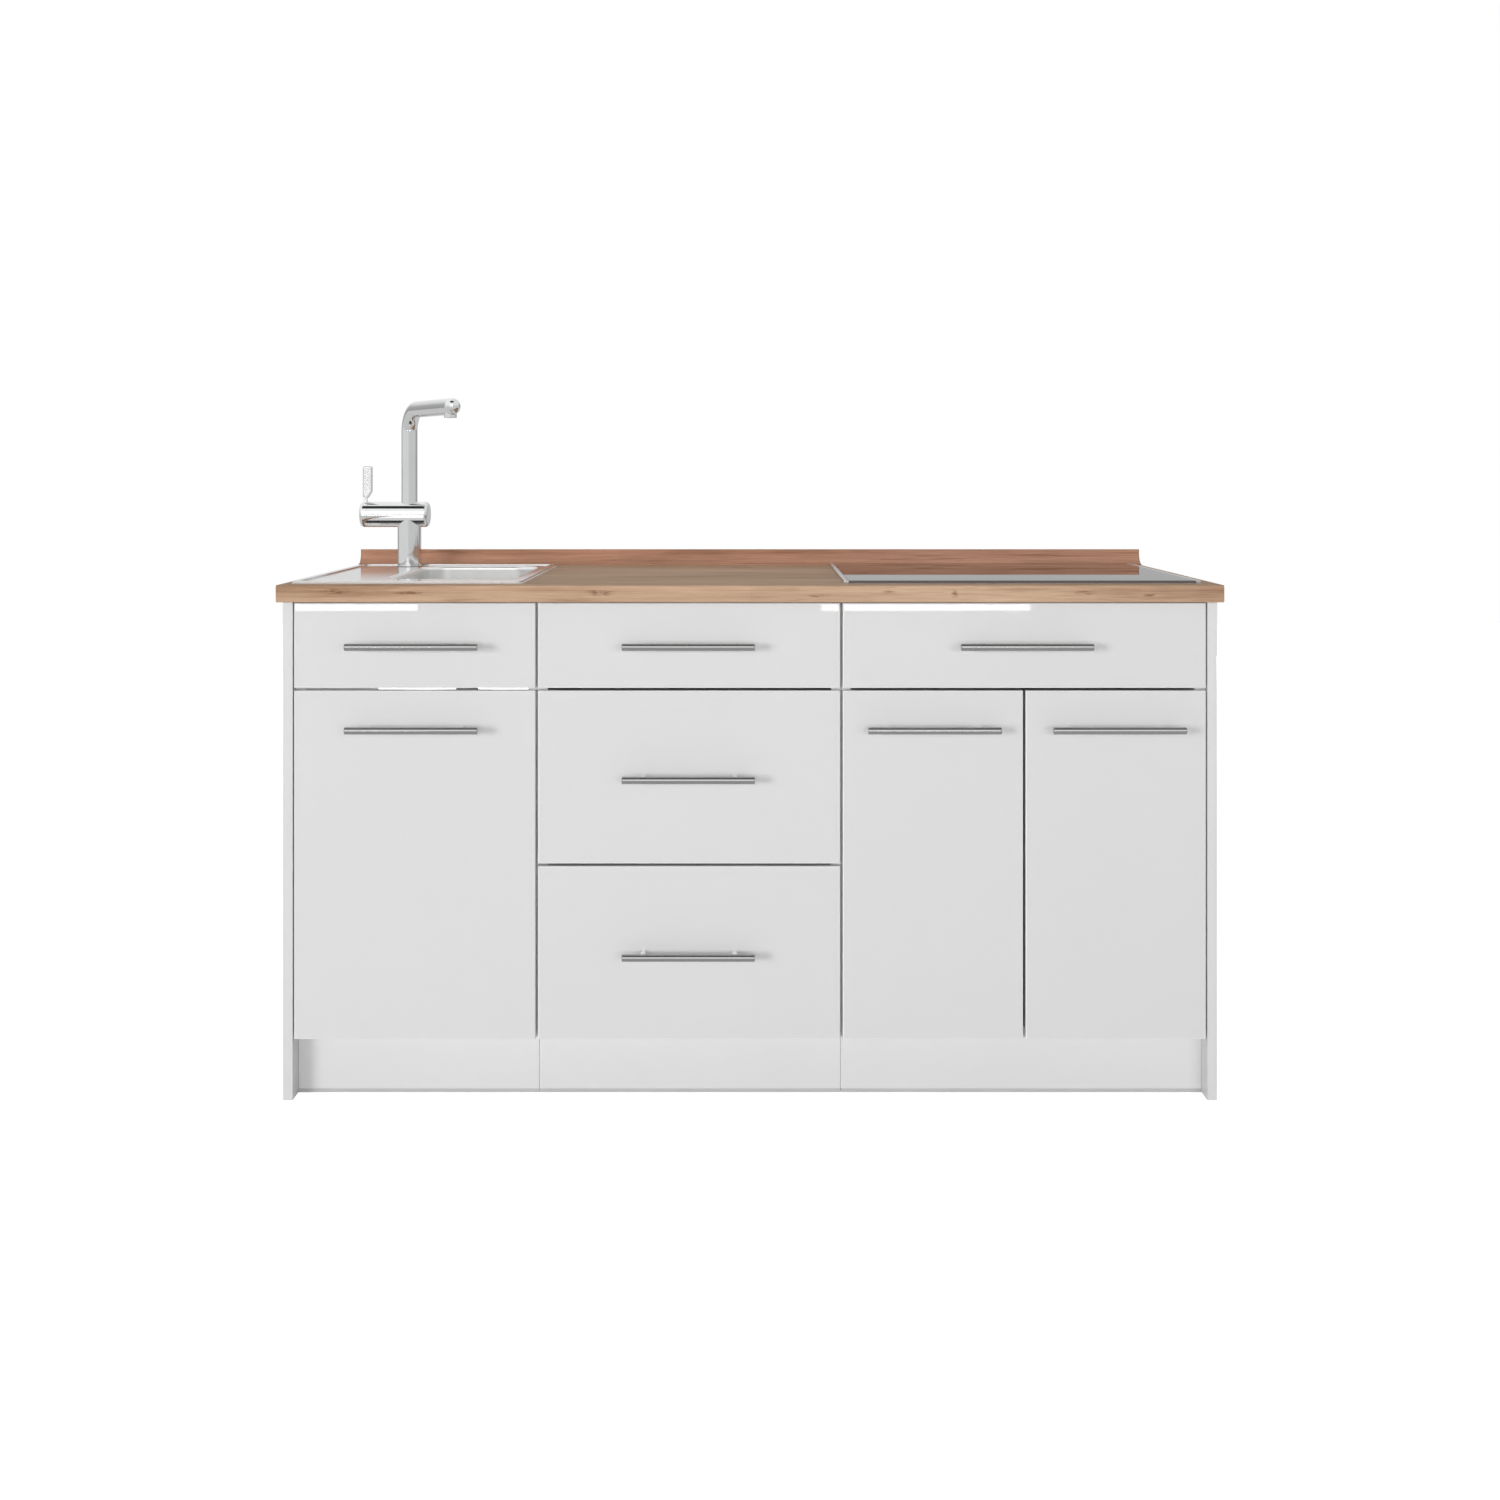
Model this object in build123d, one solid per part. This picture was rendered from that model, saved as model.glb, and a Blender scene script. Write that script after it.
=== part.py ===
from build123d import *
import math
import os

# A kitchen block: sink unit, drawer unit and hob unit under one worktop.
# X runs right along the wall, Y runs back to the wall, Z runs up from the floor.
# The origin is the middle of the footprint on the floor, and all sizes are in millimetres.

# Units and their boards
sink_unit_width = 400.0
drawer_unit_width = 500.0
hob_unit_width = 600.0
carcass_height = 718.0
board = 16.0
back_thickness = 3.0
back_inset = 2.0
front_rail_height = 40.0
rear_rail_height = 80.0
service_gap = 19.0
cover_thickness = 16.0
cover_wall_gap = 2.0

# Worktop and the profile along the wall
worktop_depth = 600.0
worktop_thickness = 28.0
worktop_side_overhang = 6.0
worktop_front_overhang = 20.0
worktop_edge_radius = 3.0
upstand_depth = 30.0
upstand_height = 30.0
upstand_lip = 9.0
upstand_foot = 2.0
upstand_shoulder = 8.0
end_cap_thickness = 2.0

# Feet and plinth
foot_height = 100.0
foot_pad_radius = 25.0
foot_pad_height = 8.0
foot_shaft_radius = 14.0
foot_plate_radius = 30.0
foot_plate_height = 12.0
foot_side_inset = 60.0
foot_rear_inset = 70.0
plinth_thickness = 16.0
plinth_recess = 36.0
plinth_floor_gap = 3.0
plinth_top_gap = 1.0
plinth_joint = 0.6
clip_reach = 30.0
clip_wall = 3.0
clip_height = 22.0
clip_base_width = 36.0
clip_play = 0.2

# Fronts
front_thickness = 16.0
front_gap = 4.0
front_top_gap = 2.0
front_bumper_gap = 2.0
front_edge_radius = 2.5
top_front_height = 140.0
bumper_radius = 4.0
bumper_play = 0.3
bumper_end_inset = 24.0
bracket_sheet = 2.0
bracket_width = 30.0
bracket_height = 40.0

# Bar handles
handle_length = 216.0
handle_diameter = 12.0
handle_standoff = 23.0
handle_post_spacing = 150.0
handle_post_diameter = 10.0
handle_end_chamfer = 0.8
door_handle_drop = 61.5

# Concealed hinges
cup_radius = 17.5
cup_depth = 11.5
cup_wall = 1.2
cup_play = 0.1
cup_edge_distance = 4.0
cup_ear_width = 22.0
cup_ear_height = 58.0
hinge_end_distance = 80.0
hinge_plate_thickness = 3.0
hinge_plate_length = 42.0
hinge_plate_height = 34.0
hinge_plate_setback = 20.0
hinge_arm_thickness = 9.0
hinge_arm_height = 14.0
hinge_arm_rear = 66.0
hinge_nose_offset = 2.0
hinge_nose_depth = 8.0
hinge_nose_bend = 6.0

# Drawers with folded steel sides that hang on rails
drawer_rear_room = 60.0
drawer_rise = 18.0
shallow_side_height = 70.0
deep_side_height = 150.0
side_gap = 13.0
side_sheet = 1.2
side_seat = 14.0
side_rim = 4.0
hook_reach = 8.0
hook_lip = 10.0
rail_sheet = 1.5
rail_depth = 11.0
rail_lip = 14.0
rail_height = 32.0
rail_rise = 14.0
rail_setback = 2.0
slide_play = 0.3
board_play = 0.2

# Shelf of the hob unit
shelf_height = 270.0
shelf_setback = 30.0
shelf_rear_gap = 10.0
shelf_play = 1.0
pin_radius = 2.5
pin_reach = 12.0
pin_end_inset = 60.0

# Sink
sink_end_margin = 14.0
sink_unit_margin = 28.0
sink_front_margin = 42.0
sink_rear_gap = 24.0
sink_sheet = 1.2
sink_rim_height = 4.0
sink_rim_band = 10.0
sink_deck_step = 2.0
sink_corner_radius = 8.0
sink_deck_radius = 5.0
sink_cutout_play = 3.0
bowl_width = 216.0
bowl_right_margin = 28.0
bowl_front_margin = 93.0
bowl_rear_margin = 51.0
bowl_depth = 150.0
bowl_corner_radius = 45.0
bowl_floor_radius = 22.0
bowl_edge_radius = 6.0

# Waste, strainer and trap under the bowl
waste_flange_radius = 56.0
waste_flange_height = 1.5
waste_neck_radius = 44.0
waste_neck_length = 38.0
waste_wall = 3.0
waste_play = 0.5
strainer_play = 0.6
strainer_sheet = 2.0
strainer_depth = 16.0
strainer_hole_radius = 2.5
strainer_hole_rings = 3
strainer_hole_step = 8.0
strainer_knob_radius = 6.0
strainer_knob_height = 14.0
tail_radius = 20.0
tail_length = 60.0
trap_radius = 36.0
trap_height = 110.0
trap_outlet_drop = 30.0
outlet_radius = 20.0
outlet_bore_radius = 18.0
outlet_wall_gap = 7.0
outlet_nut_radius = 27.0
outlet_nut_length = 26.0

# Tap
tap_bowl_gap = 35.0
tap_rear_margin = 46.0
tap_column_radius = 22.5
tap_cross_radius = 24.5
tap_cross_left = 77.0
tap_cross_right = 38.0
tap_cross_rounding = 7.0
tap_axis_height = 100.0
tap_shank_radius = 16.0
tap_shank_length = 60.0
tap_hole_play = 1.5
inlet_radius = 5.0
inlet_depth = 20.0
inlet_spacing = 14.0
nut_radius = 25.0
nut_height = 10.0
nut_play = 0.1
turn_play = 0.3
spout_radius = 15.25
spout_wall = 2.5
spout_socket_depth = 22.0
spout_arm_height = 201.0
spout_bend_radius = 42.0
spout_reach = 210.0
spout_end = 8.0
spout_swing = 32.0
aerator_radius = 11.5
aerator_drop = 5.0
aerator_grip = 6.0
aerator_recess = 2.0
aerator_rim = 2.0
cap_length = 15.3
cap_rounding = 6.0
cap_axle_radius = 10.0
cap_axle_length = 15.0
lever_pivot_height = 12.0
lever_pin_radius = 1.5
lever_neck_width = 7.0
lever_neck_depth = 8.0
lever_width = 18.0
lever_offset = 4.5
lever_depth = 10.0
lever_foot_height = 32.0
lever_top_height = 93.0
lever_cut_width = 7.0
lever_cut_height = 12.0
lever_rounding = 3.0

# Hob
hob_side_gap = 5.0
hob_rear_gap = 10.0
hob_flange = 16.0
hob_rail_gap = 2.0
hob_corner_radius = 8.0
hob_sheet = 1.0
hob_tray_drop = 46.0
hob_cutout_play = 2.0
hob_frame_band = 8.0
hob_frame_skirt = 2.0
hob_frame_height = 5.5
hob_frame_rounding = 1.5
glass_play = 0.3
glass_sunk = 0.6
glass_bevel = 1.6
large_heater_radius = 90.0
small_heater_radius = 72.0
heater_height = 24.0
heater_post_radius = 12.0
heater_spread_x = 130.0
heater_spread_y = 112.0
gland_radius = 11.0
gland_bore_radius = 6.0
gland_length = 14.0
gland_inset = 60.0

# Heights
z_carcass = foot_height
z_under = z_carcass + carcass_height
z_top = z_under + worktop_thickness
z_floor_board = z_carcass + board

# Places from front to back
handle_reach = handle_standoff + handle_diameter
y_wall = (worktop_depth - worktop_front_overhang + handle_reach) / 2
y_worktop = y_wall - worktop_depth
y_face = y_worktop + worktop_front_overhang
y_front_back = y_face + front_thickness
y_carcass = y_front_back + front_bumper_gap
y_carcass_back = y_wall - service_gap - back_thickness
y_upstand = y_wall - upstand_depth
y_plinth = y_face + plinth_recess
y_plinth_back = y_plinth + plinth_thickness
y_bar = y_face - handle_standoff - handle_diameter / 2

# Places along the wall
unit_widths = {"sink": sink_unit_width, "drawer": drawer_unit_width, "hob": hob_unit_width}
row_width = sum(unit_widths.values())
row_left = -row_width / 2
row_right = row_width / 2
worktop_left = row_left - cover_thickness - worktop_side_overhang
worktop_right = row_right + cover_thickness + worktop_side_overhang
unit_left = {
    "sink": row_left,
    "drawer": row_left + sink_unit_width,
    "hob": row_left + sink_unit_width + drawer_unit_width,
}
unit_right = {name: unit_left[name] + unit_widths[name] for name in unit_widths}
inner_left = {name: unit_left[name] + board for name in unit_widths}
inner_right = {name: unit_right[name] - board for name in unit_widths}
hob_middle = (unit_left["hob"] + unit_right["hob"]) / 2

# Rows of fronts from the floor up
fronts_height = carcass_height - front_top_gap
deep_front_height = (fronts_height - top_front_height - 2 * front_gap) / 2
bottom_row = (z_carcass, z_carcass + deep_front_height)
middle_row = (bottom_row[1] + front_gap, bottom_row[1] + front_gap + deep_front_height)
top_row = (middle_row[1] + front_gap, middle_row[1] + front_gap + top_front_height)
door_row = (bottom_row[0], middle_row[1])
drawer_length = y_carcass_back - y_carcass - drawer_rear_room

# Sink, tap and hob places
z_rim = z_top + sink_rim_height
z_deck = z_rim - sink_deck_step
z_bowl = z_deck - bowl_depth
sink_rim = (
    worktop_left + sink_end_margin,
    unit_right["sink"] - sink_unit_margin,
    y_worktop + sink_front_margin,
    y_upstand - sink_rear_gap,
)
bowl_right = sink_rim[1] - bowl_right_margin
bowl = (
    bowl_right - bowl_width,
    bowl_right,
    sink_rim[2] + bowl_front_margin,
    sink_rim[3] - bowl_rear_margin,
)
drain_x = (bowl[0] + bowl[1]) / 2
drain_y = (bowl[2] + bowl[3]) / 2
tap_x = bowl[0] - tap_bowl_gap
tap_y = sink_rim[3] - tap_rear_margin
z_tap = z_deck + tap_axis_height
cross_left = tap_x - tap_cross_left
cap_right = cross_left - turn_play
cap_left = cap_right - cap_length
lever_x = (cap_left + cap_right) / 2
z_lever_pin = z_tap + lever_pivot_height
y_hob = y_carcass + board + hob_rail_gap - hob_flange
hob = (
    unit_left["hob"] + hob_side_gap,
    unit_right["hob"] - hob_side_gap,
    y_hob,
    y_upstand - hob_rear_gap,
)
z_tray = z_top - hob_tray_drop
z_frame = z_top + hob_frame_height
z_glass = z_frame - glass_sunk


def slab(x0, x1, y0, y1, z0, z1):
    middle = Pos((x0 + x1) / 2, (y0 + y1) / 2, (z0 + z1) / 2)
    return middle * Box(x1 - x0, y1 - y0, z1 - z0)


def drum(x, y, z0, z1, radius):
    return Pos(x, y, (z0 + z1) / 2) * Cylinder(radius, z1 - z0)


def rod_x(x0, x1, y, z, radius):
    return Pos((x0 + x1) / 2, y, z) * Rot(0, 90, 0) * Cylinder(radius, x1 - x0)


def rod_y(x, y0, y1, z, radius):
    return Pos(x, (y0 + y1) / 2, z) * Rot(90, 0, 0) * Cylinder(radius, y1 - y0)


def grow(area, by):
    return (area[0] - by, area[1] + by, area[2] - by, area[3] + by)


# A flat plate with rounded corners over an area (x0, x1, y0, y1)
def plate(area, z0, z1, radius):
    x0, x1, y0, y1 = area
    outline = Pos((x0 + x1) / 2, (y0 + y1) / 2, z0) * RectangleRounded(x1 - x0, y1 - y0, radius)
    return extrude(outline, z1 - z0)


# A prism along Y from a closed outline of (x, z) points
def prism_y(points, y0, y1):
    outline = make_face(Polyline([(x, y0, z) for x, z in points], close=True))
    return extrude(outline, y1 - y0, dir=(0, 1, 0))


# A prism along Z from a closed outline of (x, y) points
def prism_z(points, z0, z1):
    outline = make_face(Polyline([(x, y, z0) for x, y in points], close=True))
    return extrude(outline, z1 - z0, dir=(0, 0, 1))


def save(name, *pieces):
    solids = [solid for piece in pieces for solid in piece.solids()]
    export_step(Compound(solids), f"parts/{name}.step")


# Two sides of a unit
def unit_sides(name):
    left = slab(unit_left[name], inner_left[name], y_carcass, y_carcass_back, z_carcass, z_under)
    right = slab(inner_right[name], unit_right[name], y_carcass, y_carcass_back, z_carcass, z_under)
    return left, right


# A board between the sides of a unit
def between_sides(name, y0, y1, z0, z1):
    return slab(inner_left[name], inner_right[name], y0, y1, z0, z1)


def unit_rails():
    rails = []
    for name in unit_widths:
        rails.append(between_sides(name, y_carcass, y_carcass + board, z_under - front_rail_height, z_under))
        rear = (y_carcass_back - board, y_carcass_back)
        rails.append(between_sides(name, *rear, z_under - rear_rail_height, z_under))
    rails.append(between_sides("sink", *rear, z_floor_board, z_floor_board + rear_rail_height))
    return rails


def unit_back(name):
    left = unit_left[name] + back_inset
    right = unit_right[name] - back_inset
    y_back = y_carcass_back + back_thickness
    return slab(left, right, y_carcass_back, y_back, z_carcass + back_inset, z_under - back_inset)


def cover_panel(x0, x1):
    return slab(x0, x1, y_face, y_wall - cover_wall_gap, 0, z_under)


# Feet at the four corners of a unit, the front ones held by the plinth clips
y_front_foot = y_plinth_back + clip_reach
y_rear_foot = y_carcass_back - foot_rear_inset
foot_columns = [
    x for name in unit_widths for x in (unit_left[name] + foot_side_inset, unit_right[name] - foot_side_inset)
]


def foot(x, y):
    pad = drum(x, y, 0, foot_pad_height, foot_pad_radius)
    shaft = drum(x, y, foot_pad_height, foot_height - foot_plate_height, foot_shaft_radius)
    head = drum(x, y, foot_height - foot_plate_height, foot_height, foot_plate_radius)
    return pad + shaft + head


def plinth_clip(x):
    low = (foot_height - clip_height) / 2
    high = low + clip_height
    inner = foot_shaft_radius + clip_play
    outer = inner + clip_wall
    base = slab(
        x - clip_base_width / 2, x + clip_base_width / 2, y_plinth_back, y_plinth_back + clip_wall, low, high
    )
    web = slab(x - clip_wall, x + clip_wall, y_plinth_back, y_front_foot, low, high)
    mouth = slab(x - inner / 2, x + inner / 2, y_front_foot, y_front_foot + outer, low, high)
    clip = base + web + drum(x, y_front_foot, low, high, outer)
    return clip - drum(x, y_front_foot, low, high, inner) - mouth


def plinth_board(name):
    left = unit_left[name] + plinth_joint / 2
    right = unit_right[name] - plinth_joint / 2
    return slab(left, right, y_plinth, y_plinth_back, plinth_floor_gap, z_carcass - plinth_top_gap)


def worktop():
    top = slab(worktop_left, worktop_right, y_worktop, y_wall, z_under, z_top)
    long_edges = top.edges().filter_by(Axis.X).sort_by(Axis.Y)[:2]
    top = fillet(long_edges, worktop_edge_radius)
    sink_hole = grow(sink_rim, sink_cutout_play + sink_sheet - sink_rim_band)
    hob_hole = grow(hob, hob_cutout_play - hob_flange)
    top -= plate(sink_hole, z_under, z_top, sink_corner_radius)
    return top - plate(hob_hole, z_under, z_top, hob_corner_radius)


# Profile along the wall, with a hollow front between its lip and its foot
def upstand(x0, x1):
    lip_y = y_wall - upstand_lip
    lip_z = z_top + upstand_height
    foot_z = z_top + upstand_foot
    shoulder_z = lip_z - upstand_shoulder
    back = Polyline((0, y_upstand, foot_z), (0, y_upstand, z_top), (0, y_wall, z_top), (0, y_wall, lip_z))
    front = Polyline((0, y_wall, lip_z), (0, lip_y, lip_z), (0, lip_y, shoulder_z))
    reach_y = lip_y - y_upstand
    reach_z = shoulder_z - foot_z
    bend = math.sqrt(0.5)
    hollow_middle = (0, y_upstand + reach_y * bend, shoulder_z - reach_z * bend)
    hollow = ThreePointArc((0, lip_y, shoulder_z), hollow_middle, (0, y_upstand, foot_z))
    outline = make_face(back.edges() + front.edges() + hollow.edges())
    return Pos(x0, 0, 0) * extrude(outline, x1 - x0, dir=(1, 0, 0))


# A front with softened edges around its face
def front(x0, x1, row):
    panel = slab(x0, x1, y_face, y_front_back, *row)
    face_edges = panel.faces().sort_by(Axis.Y)[0].edges()
    return fillet(face_edges, front_edge_radius)


def bar_handle(x, z):
    bar = rod_x(x - handle_length / 2, x + handle_length / 2, y_bar, z, handle_diameter / 2)
    bar = chamfer(bar.edges().filter_by(GeomType.CIRCLE), handle_end_chamfer)
    for side in (-1, 1):
        bar += rod_y(x + side * handle_post_spacing / 2, y_bar, y_face, z, handle_post_diameter / 2)
    return bar


def false_front_bracket(side):
    wall = inner_left["sink"] if side > 0 else inner_right["sink"]
    middle = (top_row[0] + top_row[1]) / 2
    low = middle - bracket_height / 2
    high = middle + bracket_height / 2
    x0, x1 = sorted((wall, wall + side * bracket_width))
    leg = slab(x0, x1, y_front_back, y_front_back + bracket_sheet, low, high)
    x0, x1 = sorted((wall, wall + side * bracket_sheet))
    return leg + slab(x0, x1, y_front_back, y_front_back + bracket_width, low, high)


# Heights of the two hinges of a door
hinge_rows = (door_row[0] + hinge_end_distance, door_row[1] - hinge_end_distance)


# The sunk cup and its ears, side is +1 where the door's hinge edge is on the left
def hinge_cup(edge, side, z):
    x = edge + side * (cup_edge_distance + cup_radius)
    y_ear = y_front_back + cup_wall
    ears = slab(
        x - cup_ear_width / 2, x + cup_ear_width / 2, y_front_back, y_ear,
        z - cup_ear_height / 2, z + cup_ear_height / 2,
    )
    cup = rod_y(x, y_front_back - cup_depth, y_ear, z, cup_radius) + ears
    return cup - rod_y(x, y_front_back - cup_depth + cup_wall, y_ear, z, cup_radius - cup_wall)


def door(x0, x1, side):
    panel = front(x0, x1, door_row)
    edge = x0 if side > 0 else x1
    x = edge + side * (cup_edge_distance + cup_radius)
    for z in hinge_rows:
        panel -= rod_y(x, y_front_back - cup_depth - cup_play, y_front_back, z, cup_radius + cup_play)
    return panel, [hinge_cup(edge, side, z) for z in hinge_rows]


# The arm that reaches from its plate on the unit's side into the cup
def hinge_arm(wall, side, z):
    x_near = wall + side * hinge_plate_thickness
    x_far = x_near + side * hinge_arm_thickness
    x_tip = side * hinge_nose_offset
    y_bend = y_carcass + hinge_nose_bend
    y_nose = y_front_back - hinge_nose_depth
    y_rear = y_carcass + hinge_arm_rear
    outline = [
        (x_near, y_rear), (x_far, y_rear), (x_far, y_bend + 2 * hinge_nose_bend), (x_far + x_tip, y_bend),
        (x_far + x_tip, y_nose), (x_near + x_tip, y_nose), (x_near + x_tip, y_bend),
        (x_near, y_bend + 2 * hinge_nose_bend),
    ]
    arm = prism_z(outline, z - hinge_arm_height / 2, z + hinge_arm_height / 2)
    x0, x1 = sorted((wall, x_near))
    y0 = y_carcass + hinge_plate_setback
    foot_plate = slab(
        x0, x1, y0, y0 + hinge_plate_length, z - hinge_plate_height / 2, z + hinge_plate_height / 2
    )
    return arm, foot_plate


# A folded side of a drawer, with a seat for the base, a rolled rim and a hook that rides on the rail
def drawer_side(wall, side, z, height):
    hook = rail_rise + rail_lip + slide_play
    inner = side_gap + side_sheet
    outline = [
        (side_gap, 0), (side_gap + side_seat, 0), (side_gap + side_seat, side_sheet), (inner, side_sheet),
        (inner, height), (side_gap - side_rim, height), (side_gap - side_rim, height - side_sheet),
        (side_gap, height - side_sheet), (side_gap, hook + side_sheet),
        (side_gap - hook_reach, hook + side_sheet), (side_gap - hook_reach, hook - hook_lip),
        (side_gap - hook_reach + side_sheet, hook - hook_lip), (side_gap - hook_reach + side_sheet, hook),
        (side_gap, hook),
    ]
    points = [(wall + side * across, z + up) for across, up in outline]
    return prism_y(points, y_front_back, y_front_back + drawer_length)


def drawer_rail(wall, side, z):
    outline = [
        (0, 0), (rail_depth, 0), (rail_depth, rail_lip), (rail_depth - rail_sheet, rail_lip),
        (rail_depth - rail_sheet, rail_sheet), (rail_sheet, rail_sheet), (rail_sheet, rail_height),
        (0, rail_height),
    ]
    points = [(wall + side * across, z + rail_rise + up) for across, up in outline]
    y0 = y_carcass + rail_setback
    return prism_y(points, y0, y0 + drawer_length)


# Base and back of a drawer, between its sides
def drawer_boards(unit, z, height):
    inset = side_gap + side_sheet + board_play
    x0 = inner_left[unit] + inset
    x1 = inner_right[unit] - inset
    y_end = y_front_back + drawer_length
    z_seat = z + side_sheet
    base = slab(x0, x1, y_front_back, y_end, z_seat, z_seat + board)
    back = slab(x0, x1, y_end - board, y_end, z_seat + board, z + height - side_sheet)
    return base, back


def sink_basin():
    deck = grow(sink_rim, -sink_rim_band)
    inside = grow(sink_rim, -sink_sheet)
    basin = plate(sink_rim, z_top, z_rim, sink_corner_radius)
    basin -= plate(inside, z_top, z_rim - sink_sheet, sink_corner_radius - sink_sheet)
    basin += plate(grow(deck, sink_sheet), z_deck - sink_sheet, z_rim, sink_deck_radius + sink_sheet)
    basin -= plate(deck, z_deck, z_rim, sink_deck_radius)
    edge = bowl_edge_radius + sink_sheet
    basin += plate(grow(bowl, edge), z_deck - edge, z_deck, bowl_corner_radius + edge)
    outside = plate(grow(bowl, sink_sheet), z_bowl - sink_sheet, z_deck, bowl_corner_radius + sink_sheet)
    basin += fillet(outside.faces().sort_by(Axis.Z)[0].edges(), bowl_floor_radius + sink_sheet)
    hollow = plate(bowl, z_bowl, z_deck, bowl_corner_radius)
    basin -= fillet(hollow.faces().sort_by(Axis.Z)[0].edges(), bowl_floor_radius)
    near = grow(bowl, bowl_edge_radius / 2)
    brim = [
        edge for edge in basin.edges().filter_by_position(Axis.Z, z_deck, z_deck)
        if near[0] < edge.center().X < near[1] and near[2] < edge.center().Y < near[3]
    ]
    basin = fillet(brim, bowl_edge_radius)
    basin -= drum(drain_x, drain_y, z_bowl - sink_sheet, z_bowl, waste_neck_radius + waste_play)
    return basin - drum(tap_x, tap_y, z_deck - sink_sheet, z_deck, tap_shank_radius + tap_hole_play)


# Waste body, tail pipe, bottle trap and outlet pipe
def sink_waste():
    z_neck = z_bowl - waste_neck_length
    z_trap = z_neck - tail_length
    z_outlet = z_trap - trap_outlet_drop
    y_outlet = y_wall - outlet_wall_gap
    flange = drum(drain_x, drain_y, z_bowl, z_bowl + waste_flange_height, waste_flange_radius)
    neck = drum(drain_x, drain_y, z_neck, z_bowl, waste_neck_radius)
    tail = drum(drain_x, drain_y, z_trap, z_neck, tail_radius)
    bottle = drum(drain_x, drain_y, z_trap - trap_height, z_trap, trap_radius)
    y_nut = drain_y + trap_radius + outlet_nut_length
    nut = rod_y(drain_x, drain_y, y_nut, z_outlet, outlet_nut_radius)
    outlet = rod_y(drain_x, y_nut, y_outlet, z_outlet, outlet_radius)
    waste = flange + neck + tail + bottle + nut + outlet
    neck_bore = waste_neck_radius - waste_wall
    waste -= drum(drain_x, drain_y, z_neck + waste_wall, z_bowl + waste_flange_height, neck_bore)
    return waste - rod_y(drain_x, y_nut, y_outlet, z_outlet, outlet_bore_radius)


# Perforated basket with a knob, standing on the waste's flange by its own rim
def sink_strainer():
    z_rest = z_bowl + waste_flange_height
    cup_outer = waste_neck_radius - waste_wall - strainer_play
    rim_radius = (waste_neck_radius + waste_flange_radius) / 2
    z_floor = z_rest - strainer_depth
    basket = drum(drain_x, drain_y, z_rest, z_rest + strainer_sheet, rim_radius)
    basket += drum(drain_x, drain_y, z_floor, z_rest, cup_outer)
    basket -= drum(drain_x, drain_y, z_floor + strainer_sheet, z_rest + strainer_sheet, cup_outer - strainer_sheet)
    basket += drum(drain_x, drain_y, z_floor, z_floor + strainer_knob_height, strainer_knob_radius)
    holes = []
    for ring in range(1, strainer_hole_rings + 1):
        ring_radius = strainer_knob_radius + ring * strainer_hole_step
        count = int(2 * math.pi * ring_radius / (2 * strainer_hole_step)) + 1
        for step in range(count):
            turn = 2 * math.pi * step / count
            x = drain_x + ring_radius * math.cos(turn)
            y = drain_y + ring_radius * math.sin(turn)
            holes.append(drum(x, y, z_floor, z_floor + strainer_sheet, strainer_hole_radius))
    return basket - holes


def tap_body():
    cross_right = tap_x + tap_cross_right
    cross = rod_x(cross_left, cross_right, tap_y, z_tap, tap_cross_radius)
    cross = fillet(cross.edges().sort_by(Axis.X)[-1], tap_cross_rounding)
    body = cross + drum(tap_x, tap_y, z_deck, z_tap, tap_column_radius)
    body += drum(tap_x, tap_y, z_deck - tap_shank_length, z_deck, tap_shank_radius)
    z_socket = z_tap + tap_cross_radius - spout_socket_depth
    body -= drum(tap_x, tap_y, z_socket, z_tap + tap_cross_radius, spout_radius + turn_play)
    body -= rod_x(cross_left, cross_left + cap_axle_length + turn_play, tap_y, z_tap, cap_axle_radius + turn_play)
    z_inlet = z_deck - tap_shank_length
    for side in (-1, 1):
        x = tap_x + side * inlet_spacing / 2
        body -= drum(x, tap_y, z_inlet, z_inlet + inlet_depth, inlet_radius)
    return body


def tap_fixing_nut():
    z_nut = z_deck - sink_sheet
    nut = drum(tap_x, tap_y, z_nut - nut_height, z_nut, nut_radius)
    return nut - drum(tap_x, tap_y, z_nut - nut_height, z_nut, tap_shank_radius + nut_play)


# Swivel spout: a bent tube with a domed end, swung to the right of straight ahead
def tap_spout():
    z_foot = z_tap + tap_cross_radius - spout_socket_depth + turn_play
    z_arm = z_tap + spout_arm_height
    reach = spout_reach + spout_end
    path = FilletPolyline((0, 0, z_foot), (0, 0, z_arm), (0, -reach, z_arm), radius=spout_bend_radius)
    inner_radius = spout_radius - spout_wall
    mouth = Pos(0, 0, z_foot)
    tube = sweep(mouth * Circle(spout_radius), path=path) + Pos(0, -reach, z_arm) * Sphere(spout_radius)
    tube -= sweep(mouth * Circle(inner_radius), path=path)
    tube -= drum(0, -spout_reach, z_arm - spout_radius, z_arm, aerator_radius)
    insert = drum(0, -spout_reach, z_arm - spout_radius - aerator_drop, z_arm - aerator_grip, aerator_radius)
    outlet_z = z_arm - spout_radius - aerator_drop
    insert -= drum(0, -spout_reach, outlet_z, outlet_z + aerator_recess, aerator_radius - aerator_rim)
    place = Pos(tap_x, tap_y, 0) * Rot(0, 0, spout_swing)
    return place * tube, place * insert


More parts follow.
